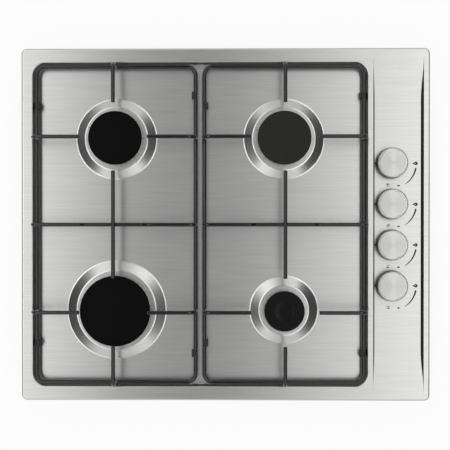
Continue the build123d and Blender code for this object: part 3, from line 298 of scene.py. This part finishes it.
# %% Sprayed knob
LACQUER_TOP, LACQUER_FOOT = 60.0 * MM, 57.6 * MM      # heights where the paint is full, and where it ends
SPECK = 0.08                            # how far the noise shifts the cover either way


def make_lacquered_knob():
    """Black moulding, sprayed silver from above: the rim is covered, and the skirt fades to black."""
    material, tree, shader = new_material("silver_sprayed_black_abs", "#a8a8a6", Roughness=0.4, IOR=1.54)
    height = add_node(tree, "ShaderNodeSeparateXYZ", {"Vector": object_place(tree)}).outputs["Z"]
    cover = shift(tree, height, 0.0, 1.0, LACQUER_FOOT, LACQUER_TOP)
    speck = shift(tree, pattern(tree, 0.9), -SPECK, SPECK)
    uneven = add_node(tree, "ShaderNodeMath", {0: cover, 1: speck}, operation="ADD", use_clamp=True)
    tint(tree, shader, uneven.outputs[0], "#2b2b2a", "#a8a8a6", 0.0, 1.0)
    tree.links.new(shift(tree, uneven.outputs[0], 0.0, 0.8, 0.0, 1.0), shader.inputs["Metallic"])
    return material


finishes["silver_moulding"] = make_lacquered_knob()
print("made:", finishes["silver_moulding"].name)

# %% [markdown]
# ## Galvanised sheet
# A zinc bath leaves crystals, the spangle, each with its own shade and gloss. A Voronoi pattern
# gives each of its cells one random colour, and the brightness of that colour sets both.

# %% Spangle
CRYSTALS_PER_METRE = 110.0              # so a crystal is about 9 mm across


def make_spangle():
    """Hot-dip galvanised sheet: zinc crystals, each with a shade of its own."""
    material, tree, shader = new_material("hot_dip_galvanised_sheet", "#a9acae", Metallic=1.0, Roughness=0.42)
    crystals = add_node(tree, "ShaderNodeTexVoronoi", {"Vector": object_place(tree)},
                        {"Scale": CRYSTALS_PER_METRE})
    shade = add_node(tree, "ShaderNodeRGBToBW", {"Color": crystals.outputs["Color"]}).outputs["Val"]
    tint(tree, shader, shade, "#989c9f", "#b9bcbe", 0.1, 0.9)
    vary_roughness(tree, shader, shade, 0.34, 0.5, 0.1, 0.9)
    return material


finishes["galvanised_steel"] = make_spangle()
print("made:", finishes["galvanised_steel"].name)

# %% [markdown]
# ## The plainer finishes
# What is left is made of ordinary metals, plastics and rubbers. Each one is a base colour, a gloss
# and a noise at the size that its making leaves: the spark texture of a mould, the patches of a
# bar's dull skin. One function makes them all, because they differ only in numbers.

# %% Plain finishes
METAL = 1.0


def make_plain(name, dark, light, roughness, grain_mm, depth_mm, metallic=0.0, ior=None):
    """A finish with one grain: its shade, its gloss and its height follow the same size of cell."""
    material, tree, shader = new_material(name, light, Metallic=metallic, Roughness=roughness)
    if ior is not None:
        shader.inputs["IOR"].default_value = ior
    grain = pattern(tree, grain_mm)
    tint(tree, shader, grain, dark, light)
    vary_roughness(tree, shader, pattern(tree, grain_mm, offset=5.0), roughness - 0.05, roughness + 0.05)
    relief(tree, shader, grain, depth_mm, strength=0.5)
    return material


# each row: name, dark and light shade, roughness, size of the grain and its depth in mm
finishes.update({
    # drawing leaves fine lines, too fine to show: a faint mottle along the tube
    "aluminium_tube": make_plain("drawn_aluminium_tube", "#b7b8b8", "#cfd0d0", 0.33, 8.0, 0.02, METAL),
    # zinc plating on a drawn steel tube: an even, faintly cloudy grey
    "zinc_tube": make_plain("zinc_plated_tube", "#9fa2a3", "#b9bbbc", 0.36, 10.0, 0.02, METAL),
    # the same plating, bright, on cold-headed screws
    "zinc_screw": make_plain("bright_zinc_plated_steel", "#b3b4b0", "#cbccc8", 0.26, 4.0, 0.02, METAL),
    # machined from bar and left bare: warm and bright, dulling in patches
    "brass": make_plain("machined_brass", "#b8935a", "#d3b16f", 0.3, 7.0, 0.02, METAL),
    # resistance wire, dulled by flame
    "electrode_wire": make_plain("oxidised_heat_wire", "#6f6a64", "#8d8982", 0.42, 2.0, 0.02, METAL),
    # glass-filled black plastic, matt and even
    "black_moulding": make_plain("moulded_black_pbt", "#141414", "#1e1e1d", 0.5, 1.2, 0.03, ior=1.55),
    # unpainted polyamide, a little yellow
    "pale_moulding": make_plain("moulded_pale_polyamide", "#d3cec0", "#e0dbcf", 0.46, 2.0, 0.02, ior=1.53),
    # rubber: dull, with the bloom of its own oils
    "black_rubber": make_plain("moulded_epdm_rubber", "#121212", "#1f1f1f", 0.72, 3.0, 0.04, ior=1.5),
    # foam: cut cells about 1.5 mm across
    "seal_foam": make_plain("closed_cell_foam_strip", "#1d1d1d", "#343434", 0.9, 1.5, 0.3, ior=1.45),
    # silicone rubber drawn over the wire through a die
    "silicone_lead": make_plain(
        "extruded_silicone_insulation", "#bfbbb3", "#cfcbc4", 0.55, 5.0, 0.02, ior=1.43),
    # clear glaze over white alumina
    "white_ceramic": make_plain("glazed_alumina", "#dedbd2", "#edeae3", 0.16, 2.0, 0.01, ior=1.6),
})
print("finishes:", len(finishes) + len(cap_enamels))

# %% [markdown]
# ## Which piece wears which finish
# Every piece of the model already names the material that it is made of. A table from those names
# to the finishes dresses them all, and the two caps that stand apart take their own enamels.

# %% Dress the pieces
node_slot = {part["node"]: part["material_slot"] for part in frame["record"]["subparts"]}
for name, piece in frame["nodes"].items():
    for place in piece.material_slots:
        place.material = cap_enamels.get(name, finishes[node_slot[name]])
print("dressed:", len(frame["nodes"]))

# %% [markdown]
# ## New pieces as surfaces
# A new piece is a grid of points: rows along one parameter, columns along the other, each point
# joined to its neighbours. Where a row shrinks to a point or the grid closes on itself, the doubled
# points are merged, and the faces are turned outwards.

# %% Grid to piece
MERGE_DISTANCE = 2e-6


def surface(name, grids, material, body):
    """Join grids of points (rows, columns, 3), closed both ways, into one piece of a body."""
    mesh = bpy.data.meshes.new(name)
    points, quads, first = [], [], 0
    for grid in grids:
        rows, columns = grid.shape[:2]
        index = first + np.arange(rows * columns).reshape(rows, columns)
        below = np.roll(index, -1, axis=0)
        corners = [index, np.roll(index, -1, axis=1), np.roll(below, -1, axis=1), below]
        quads.append(np.stack(corners, axis=-1).reshape(-1, 4))
        points.append(grid.reshape(-1, 3))
        first += rows * columns
    mesh.from_pydata(np.concatenate(points), [], np.concatenate(quads).tolist())
    shape = bmesh.new()
    shape.from_mesh(mesh)
    bmesh.ops.remove_doubles(shape, verts=shape.verts, dist=MERGE_DISTANCE)
    bmesh.ops.recalc_face_normals(shape, faces=shape.faces)
    shape.to_mesh(mesh)
    shape.free()
    mesh.materials.append(material)
    piece = bpy.data.objects.new(name, mesh)
    bpy.context.scene.collection.objects.link(piece)
    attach(piece, body)
    print(name, "faces:", len(mesh.polygons))
    return piece


# %% [markdown]
# ## The printed marks
# Beside each knob the strip is screen-printed: a dot for off, a large and a small flame, an arc that
# tapers from one to the other, and four small dots that stand for the four burners. Ink stands a few
# hundredths of a millimetre proud. An image could carry them, but thin plates keep crisp edges at any
# distance and can be measured. Each outline is a formula of one angle, and the plate repeats it at
# its foot and at its face.

# %% Dots, flames and their plates
TURN = np.linspace(0.0, 2.0 * np.pi, 48, endpoint=False)
STRIP_Z = 46.0 * MM
INK_PROUD = 0.04 * MM
FLAME_FULLNESS, FLAME_POINT = 0.62, 1.6         # share of the width, and how sharply the tip closes

print_ink = make_plain("screen_printed_black_ink", "#101010", "#1a1a1a", 0.45, 1.5, 0.005, ior=1.5)


def dot(x, y, radius):
    """Circle of a radius about a point, in millimetres."""
    return np.stack([x + radius * np.cos(TURN), y + radius * np.sin(TURN)], axis=-1)


def flame(x, y, length, width):
    """Drop, tip to the left: a cosine along; across, the sine times a power of the half angle's sine."""
    along = -0.5 * length * np.cos(TURN)
    across = FLAME_FULLNESS * width * np.sin(TURN) * np.sin(0.5 * TURN) ** FLAME_POINT
    return np.stack([x + along, y + across], axis=-1)


def plate(outline, hole_share, knob_y):
    """Plate from an outline in mm about a knob's axis: its hole is the same outline, drawn in to a share."""
    centre = outline.mean(axis=0, keepdims=True)
    hole = centre + (outline - centre) * hole_share
    rows = []
    for edge, proud in ((hole, 0.0), (outline, 0.0), (outline, INK_PROUD), (hole, INK_PROUD)):
        level = np.full(len(edge), STRIP_Z + proud)
        rows.append(np.stack([KNOB_X + edge[:, 0] * MM, knob_y + edge[:, 1] * MM, level], axis=-1))
    return np.stack(rows)


print("outline points:", len(TURN))

# %% [markdown]
# ### The tapering arc
# The arc is a band whose middle line is a circle about the knob. Its half width is a formula of how
# far along it one is, so the taper and the blunt thick end come without any drawing.

# %% Arc
ARC_STEPS = 40
ARC_BLUNT = 14.0                        # the thick end rounds off over one part in this many
ARC_HAIR = 0.02                         # half width that is left at the thin end, in mm


def taper_arc(radius, start, end, widest, knob_y):
    """Band along an arc about the knob: its half width falls with the square root of the way left."""
    way = np.linspace(0.0, 1.0, ARC_STEPS)
    angle = np.radians(start + (end - start) * way)
    blunt = np.sqrt(np.clip(way * ARC_BLUNT, 0.0, 1.0))
    half = 0.5 * widest * np.sqrt(1.0 - way) * blunt + ARC_HAIR
    edges = []
    for side, proud in ((-1, 0.0), (1, 0.0), (1, INK_PROUD), (-1, INK_PROUD)):
        reach = (radius + side * half) * MM
        x, y = KNOB_X + reach * np.cos(angle), knob_y + reach * np.sin(angle)
        edges.append(np.stack([x, y, np.full_like(angle, STRIP_Z + proud)], axis=-1))
    band = np.stack(edges)
    tips = np.repeat(band.mean(axis=0, keepdims=True), 4, axis=0)
    return np.concatenate([tips[:, :1], band, tips[:, -1:]], axis=1)


print("arc steps:", ARC_STEPS)

# %% [markdown]
# ### The same marks four times
# The four sets differ only in which of the four dots is the large one. The dots stand as the burners
# do, and the large ones are counted off from the rear left, knob by knob. All marks of a set but the
# arc are one piece. A fault is left here: under the sheet, the first knob's gas tube runs to the rear
# right burner and the second one's to the rear left, so these two should change their large dots.

# %% Print the four sets
OFF_DOT = (-22.1, 0.0, 1.35)                    # x and y from the knob's axis, and radius
BIG_FLAME = (33.8, -0.2, 7.6, 5.8)              # x, y, length and width
BIG_FLAME_HOLE = 0.22
SMALL_FLAME = (10.1, -31.8, 4.4, 2.8)
ARC = (35.7, -9.5, -58.0, 2.5)                  # radius, angles in degrees and greatest width
BURNER_DOTS = (-4.3, -30.9, 1.15)               # middle of the four, and how far each stands off it
BURNER_PLACES = ((-1, 1), (1, 1), (-1, -1), (1, -1))
LARGE_DOT, SMALL_DOT = 1.15, 0.75               # radii

dots_x, dots_y, spread = BURNER_DOTS
for row, (_, knob_y, _) in enumerate(KNOB_SPOTS):
    marks = [(dot(*OFF_DOT), 0.0), (flame(*BIG_FLAME), BIG_FLAME_HOLE), (flame(*SMALL_FLAME), 0.0)]
    for burner, (side, rise) in enumerate(BURNER_PLACES):
        radius = LARGE_DOT if burner == row else SMALL_DOT
        marks.append((dot(dots_x + side * spread, dots_y + rise * spread, radius), 0.0))
    plates = [plate(outline, hole_share, knob_y) for outline, hole_share in marks]
    surface(f"knob_marks_{row + 1}", plates, print_ink, "root")
    surface(f"flame_arc_{row + 1}", [taper_arc(*ARC, knob_y)], print_ink, "root")

# %% [markdown]
# ## Weld beads
# The pan supports are resistance-welded: where an upright wire stands on the frame's wire, the
# metal is squeezed out into a small collar, and the enamel fills its corner with a soft fillet. The
# collar is a saddle: it hugs the upright wire inside and the round back of the frame's wire outside.
# Its height over the frame's wire falls with the square of the way out.

# %% Beads at the feet of the wires
FRAME_WIRE, FINGER_WIRE = 3.0 * MM, 2.75 * MM
BEAD_REACH, BEAD_SIDE, BEAD_RISE = 4.5 * MM, 2.9 * MM, 1.7 * MM
BEAD_START = 0.9                        # the collar starts inside the upright wire, as a share of its radius
BEAD_DEEP = 1.2 * MM                    # and closes inside the frame's wire, this far under its axis
BEAD_WAY = np.array([0.0, 0.12, 0.3, 0.5, 0.7, 0.85, 1.0, 0.8, 0.0])    # share of the way out, and back
BEAD_BURIED = np.array([0.0, 0.0, 0.0, 0.0, 0.0, 0.0, 0.0, 1.0, 1.0])   # 1 where it runs back inside
FINGER_ROW = 102.0 * MM                 # from the support's end wires to its rows of fingers
UP = np.array([0.0, 0.0, 1.0])


def weld_bead(foot, along):
    """Saddle collar about an upright wire: its foot follows the frame wire's circle, its rise a square."""
    along = np.array(along)
    across = np.cross(UP, along)
    turn = TURN[:, None]
    inner = BEAD_START * FINGER_WIRE
    outer = np.hypot(BEAD_REACH * np.cos(turn), BEAD_SIDE * np.sin(turn))
    reach = inner + (outer - inner) * BEAD_WAY
    run, side = reach * np.cos(turn), reach * np.sin(turn)
    back = np.sqrt(np.clip(FRAME_WIRE ** 2 - side ** 2, 0.0, None))
    collar = BEAD_RISE * (1.0 - BEAD_WAY) ** 2 * (1.0 - BEAD_BURIED)
    rise = back + collar - BEAD_DEEP * BEAD_BURIED
    return np.array(foot) + run[..., None] * along + side[..., None] * across + rise[..., None] * UP


for support in ("pan_support_left", "pan_support_right"):
    low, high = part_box(support)
    left, right = low.x + FRAME_WIRE, high.x - FRAME_WIRE
    back_y, level = high.y - FRAME_WIRE, low.z + FRAME_WIRE
    finger_y = back_y - FINGER_ROW
    at_sides = [(x, y, level) for x in (left, right) for y in (-finger_y, 0.0, finger_y)]
    at_ends = [(0.5 * (left + right), y, level) for y in (-back_y, back_y)]
    beads = [weld_bead(foot, (0.0, 1.0, 0.0)) for foot in at_sides]
    beads += [weld_bead(foot, (1.0, 0.0, 0.0)) for foot in at_ends]
    bead_name = support.replace("pan_support", "weld_beads")
    surface(bead_name, beads, finishes["black_enamel_wire"], support)

# %% [markdown]
# ## The threaded gas inlet
# At the back a brass fitting waits for the gas pipe: a hexagon for the spanner, then a half-inch pipe
# thread, 14 turns to the inch. A thread could be swept along a helix, but here it is one surface: the
# radius of a turned profile that also depends on how far the angle has carried the helix on.

# %% Inlet fitting
FINE_TURN = np.linspace(0.0, 2.0 * np.pi, 96, endpoint=False)
HEX_CORNER, HEX_CHAMFER, CHAMFER_LENGTH = 12.9, 0.93, 0.8       # radius in mm, share of it, length in mm
THREAD_TOP, THREAD_ROOT, THREAD_LENGTH = 10.48, 9.35, 16.0      # radii and length in mm
THREAD_PITCH = 25.4 / 14.0
THREAD_ROWS = 84
THREAD_START_GAP, THREAD_END_GAP, THREAD_FADE = 0.4, 0.1, 1.2
THREAD_FLANK, THREAD_FLAT = 1.5, 0.25   # slope of the flanks, and how much of them the root cuts off
END_CHAMFER = 0.4
BORE, SOCKET, SOCKET_DEPTH = 7.0, 8.05, 12.0                    # radii and depth in mm


def inlet_fitting():
    """Turned profile along Y: out over hexagon and thread, back through bore and socket.

    The hexagon's radius is its half width over the cosine of the angle from the nearest flat. The
    thread is a triangle wave of y over the pitch less the angle in turns, clipped at crest and root.
    """
    low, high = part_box("gas_inlet_fitting")
    hex_back, thread_end = round(low.y / MM, 2), round(high.y / MM, 2)
    hex_front = thread_end - THREAD_LENGTH
    angle = FINE_TURN[None, :]
    ring = np.ones_like(angle)
    from_flat = (angle - np.pi / 2 + np.pi / 6) % (np.pi / 3) - np.pi / 6
    hexagon = HEX_CORNER * np.cos(np.pi / 6) / np.cos(from_flat)
    chamfered = np.minimum(hexagon, HEX_CHAMFER * HEX_CORNER)
    start, end = hex_front + THREAD_START_GAP, thread_end - THREAD_END_GAP
    y = np.linspace(start, end, THREAD_ROWS)[:, None]
    phase = (y / THREAD_PITCH - angle / (2.0 * np.pi)) % 1.0
    crest = np.clip(THREAD_FLANK * (1.0 - np.abs(2.0 * phase - 1.0)) - THREAD_FLAT, 0.0, 1.0)
    fade = np.clip((y - start) / THREAD_FADE, 0.0, 1.0) * np.clip((end - y) / THREAD_FADE, 0.0, 1.0)
    thread = THREAD_ROOT + (THREAD_TOP - THREAD_ROOT) * crest * fade
    before = ((hex_back, SOCKET * ring), (hex_back, chamfered), (hex_back + CHAMFER_LENGTH, hexagon),
              (hex_front - CHAMFER_LENGTH, hexagon), (hex_front, chamfered), (hex_front, THREAD_ROOT * ring))
    after = ((thread_end, (THREAD_ROOT - END_CHAMFER) * ring), (thread_end, BORE * ring),
             (hex_back + SOCKET_DEPTH, BORE * ring), (hex_back + SOCKET_DEPTH, SOCKET * ring))
    places = np.concatenate([[[at] for at, _ in before], y, [[at] for at, _ in after]])
    radii = np.concatenate([row for _, row in before] + [thread] + [row for _, row in after])
    middle_x, _, middle_z = middle("gas_inlet_fitting")
    return np.stack([middle_x + radii * MM * np.cos(angle), places * MM * ring,
                     middle_z + radii * MM * np.sin(angle)], axis=-1)


fitting = surface("gas_inlet_threaded", [inlet_fitting()], finishes["brass"], "root")
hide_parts("gas_inlet_fitting")

# %% [markdown]
# ## Screws with a cross recess
# Ten pan-head screws hold the casing and the clamps. A real one is cold-headed: a punch drives the
# cross into the dome. It could be cut out of a solid, but the head is simply a height over a disc:
# a dome that falls with the square of the radius, less two troughs that cross in the middle.

# %% Screws
HEAD_RADIUS, HEAD_HEIGHT, DOME_FALL, HEAD_RINGS = 3.5, 2.0, 0.7, 30
SHANK_RADIUS = 1.9
TROUGH_ARM, TROUGH_HALF, TROUGH_DEPTH = 2.0, 0.5, 1.3
TROUGH_SIDE_SLOPE, TROUGH_END_SLOPE = 0.2, 0.9          # mm over which a trough's edge comes up
SCREWS = {                                              # places along x and the shank's length, in mm
    "casing_screws": ((-235.0, -35.75, 140.0), 8.0),
    "clamp_screws": ((-180.0, 180.0), 9.0),
}


def trough(along, across):
    """Depth of one arm of the cross: full in its middle, sloping up at the sides and the ends."""
    sides = np.clip((TROUGH_HALF - np.abs(across)) / TROUGH_SIDE_SLOPE, 0.0, 1.0)
    ends = np.clip((TROUGH_ARM - np.abs(along)) / TROUGH_END_SLOPE, 0.0, 1.0)
    return TROUGH_DEPTH * sides * ends


def screw(x, seat, out, height, length):
    """Head's face from the middle to the rim, down to the seat, in to the shank and along it to its tip."""
    rings = np.linspace(0.0, HEAD_RADIUS, HEAD_RINGS)
    radius = np.concatenate([rings, [HEAD_RADIUS, SHANK_RADIUS, SHANK_RADIUS, 0.0]])[:, None]
    side, up = radius * np.cos(FINE_TURN), radius * np.sin(FINE_TURN)
    dome = HEAD_HEIGHT - DOME_FALL * (radius / HEAD_RADIUS) ** 2
    face = dome - np.maximum(trough(side, up), trough(up, side))
    under = np.array([0.0, 0.0, -length, -length])[:, None] * np.ones_like(FINE_TURN)
    level = np.concatenate([face[:HEAD_RINGS], under])
    return np.stack([(x + side) * MM, seat + out * level * MM, height + up * MM], axis=-1)


for name, (xs, length) in SCREWS.items():
    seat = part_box(name)[1].y - HEAD_HEIGHT * MM
    height = middle(name)[2]
    rows = [screw(x, out * seat, out, height, length) for x in xs for out in (-1.0, 1.0)]
    new_screws = surface(f"cross_recessed_{name}", rows, finishes["zinc_screw"], "root")
    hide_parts(name)

# %% [markdown]
# ## Light
# Brushed steel shows the room more than itself, so the room is what is designed. Seen from straight
# above, the sheet mirrors the ceiling: two wide soft lights to the left and right of the camera, a
# dimmer band between them where the camera hangs, and darkness beyond them. Towards the front and
# back and lower down the room is a pale grey, and at the floor it is white. Lamps could do this one
# by one, but the world can hold it whole, because its colour depends only on the direction. The
# camera itself sees plain white behind the cooktop. The brightest zones are matched to the one view
# of the photograph. From some other sides the steel mirrors them and comes out nearly white.

# %% The room
LEAN_STOPS = (                          # lean in degrees from straight up, left below 0, and radiance
    (-90, 0.4), (-75, 0.03), (-49, 0.03), (-43, 1.7), (-24, 1.85), (-19, 1.65), (-15, 1.22), (-12, 0.93),
    (-9.5, 0.57), (-8.0, 0.08), (-6.6, 0.08), (-4.6, 0.3), (-3.2, 0.18), (-1.4, 0.0), (0.0, 0.14),
    (2.2, 0.47), (5.0, 0.7), (8.0, 1.0), (12, 1.32), (17, 1.65), (36, 1.7), (43, 0.03), (75, 0.03), (90, 0.4),
)
END_WALLS = (0.58, 0.8, 0.86)           # size of y where the walls front and back start, are full, radiance
BELT = (0.3, 0.18, 0.55)                # z where the low belt starts, is full, and its radiance
FOOT = (0.12, 0.04, 1.0)                # the same for the white at the room's foot


def lay_over(tree, base, measure, start, full, radiance):
    """Cover the base with one radiance: not at all where the measure is at start, wholly at full."""
    share = add_node(tree, "ShaderNodeMapRange", {"Value": measure}, {"From Min": start, "From Max": full},
                     interpolation_type="SMOOTHSTEP")
    mix = add_node(tree, "ShaderNodeMix", {0: share.outputs["Result"], 2: base}, {3: radiance},
                   data_type="FLOAT")
    return mix.outputs[0]


def make_room():
    """World: a ramp over the sideways lean, then pale ends, belt and foot, and white to the camera."""
    world = bpy.data.worlds.new("photo_room")
    world.use_nodes = True
    tree = world.node_tree
    way = add_node(tree, "ShaderNodeTexCoord").outputs["Generated"]
    axes = add_node(tree, "ShaderNodeSeparateXYZ", {"Vector": way})
    up = axes.outputs["Z"]
    lean = add_node(tree, "ShaderNodeMath", {0: axes.outputs["X"], 1: up}, operation="ARCTAN2")
    side = add_node(tree, "ShaderNodeMapRange", {"Value": lean.outputs[0]},
                    {"From Min": -np.pi / 2, "From Max": np.pi / 2})
    ramp = add_node(tree, "ShaderNodeValToRGB", {"Fac": side.outputs["Result"]})
    stops = ramp.color_ramp.elements
    peak = max(radiance for _, radiance in LEAN_STOPS)
    while len(stops) < len(LEAN_STOPS):
        stops.new(0.5)
    for stop, (degrees, radiance) in zip(stops, LEAN_STOPS):
        stop.position = (degrees + 90.0) / 180.0
        stop.color = (radiance / peak, radiance / peak, radiance / peak, 1.0)
    share = add_node(tree, "ShaderNodeRGBToBW", {"Color": ramp.outputs["Color"]})
    light = add_node(tree, "ShaderNodeMath", {0: share.outputs["Val"]}, {1: peak}, operation="MULTIPLY")
    to_ends = add_node(tree, "ShaderNodeMath", {0: axes.outputs["Y"]}, operation="ABSOLUTE")
    walled = lay_over(tree, light.outputs[0], to_ends.outputs["Value"], *END_WALLS)
    belted = lay_over(tree, walled, up, *BELT)
    footed = lay_over(tree, belted, up, *FOOT)
    seen = add_node(tree, "ShaderNodeLightPath").outputs["Is Camera Ray"]
    shown = add_node(tree, "ShaderNodeMix", {0: seen, 2: footed}, {3: 1.0}, data_type="FLOAT")
    tree.links.new(shown.outputs[0], tree.nodes["Background"].inputs["Color"])
    bpy.context.scene.world = world
    print("room:", world.name, "brightest:", peak)


make_room()

# %% [markdown]
# ### A lamp from the left
# A room that is only a colour of the direction throws very soft shadows. One small square lamp on
# the left adds a hint of direction to them.

# %% Lamp
LAMP_AIM = (0.0, 0.0, 0.05)


def soft_lamp(name, place, size, watts):
    """Square soft lamp turned to the cooktop: tipped by the slope of its way, turned by its bearing."""
    light = bpy.data.lights.new(name, "AREA")
    light.size = size
    light.energy = watts
    lamp = bpy.data.objects.new(name, light)
    lamp.location = place
    aim = np.array(LAMP_AIM) - np.array(place)
    level = float(np.hypot(aim[0], aim[1]))
    lamp.rotation_euler = (float(np.arctan2(level, -aim[2])), 0.0, float(np.arctan2(-aim[0], aim[1])))
    bpy.context.scene.collection.objects.link(lamp)
    print("lamp:", name, "watts:", watts)


soft_lamp("key_left", (-1.1, 0.2, 1.3), 0.35, 0.8)

# %% [markdown]
# ## Floor
# The cooktop lies on a pale floor that runs far out on all sides. The camera and mirrors see it
# white, and it still takes a faint shadow: most of its light is its own where an eye or a mirror
# meets it, and the rest is what falls on it. From below it is clear, so that the underside can be
# looked at.

# %% Floor
FLOOR_REACH = 4.0
FLOOR_Z = -0.3 * MM                     # a hair under the casing, so that the two faces share no plane
OWN_LIGHT = 0.9


def make_floor():
    """Square floor at the cooktop's foot, white to the camera and to mirrors, with a faint shadow."""
    mesh = bpy.data.meshes.new("floor")
    corners = [(x * FLOOR_REACH, y * FLOOR_REACH, FLOOR_Z) for x, y in ((-1, -1), (1, -1), (1, 1), (-1, 1))]
    mesh.from_pydata(corners, [], [(0, 1, 2, 3)])
    floor = bpy.data.objects.new("floor", mesh)
    bpy.context.scene.collection.objects.link(floor)
    material, tree, shader = new_material("pale_matt_floor", "#efefee", Roughness=0.9)
    path = add_node(tree, "ShaderNodeLightPath").outputs
    direct = add_node(tree, "ShaderNodeMath", {0: path["Is Camera Ray"], 1: path["Is Glossy Ray"]},
                      operation="ADD")
    seen = add_node(tree, "ShaderNodeMath", {0: direct.outputs[0], 1: path["Is Transmission Ray"]},
                    operation="ADD", use_clamp=True)
    share = add_node(tree, "ShaderNodeMath", {0: seen.outputs[0]}, {1: OWN_LIGHT}, operation="MULTIPLY")
    white = add_node(tree, "ShaderNodeEmission", values={"Strength": 1.0})
    lit = add_node(tree, "ShaderNodeMixShader",
                   {0: share.outputs[0], 1: shader.outputs[0], 2: white.outputs[0]})
    below = add_node(tree, "ShaderNodeNewGeometry").outputs["Backfacing"]
    clear = add_node(tree, "ShaderNodeBsdfTransparent")
    either = add_node(tree, "ShaderNodeMixShader", {0: below, 1: lit.outputs[0], 2: clear.outputs[0]})
    tree.links.new(either.outputs[0], tree.nodes["Material Output"].inputs["Surface"])
    mesh.materials.append(material)
    print("floor at:", FLOOR_Z)
    return floor


make_floor()

# %% [markdown]
# ## Camera
# The photograph looks almost straight down. The camera's place and lens were found by matching the
# corners of the sheet, the knobs and the caps. It hangs a little over a metre above the floor, near
# enough for the raised wires to stand off from the sheet under them towards the picture's edges.

# %% Camera and picture
view = bpy.data.cameras.new("camera")
view.sensor_width = 36.0
view.lens = 61.943
camera = bpy.data.objects.new("camera", view)
camera.location = (0.01203, 0.00530, 1.150)
camera.rotation_euler = (-0.005458, 0.011157, -0.000051)
bpy.context.scene.collection.objects.link(camera)
bpy.context.scene.camera = camera
bpy.context.scene.view_settings.view_transform = "Standard"
print("camera at:", tuple(camera.location))
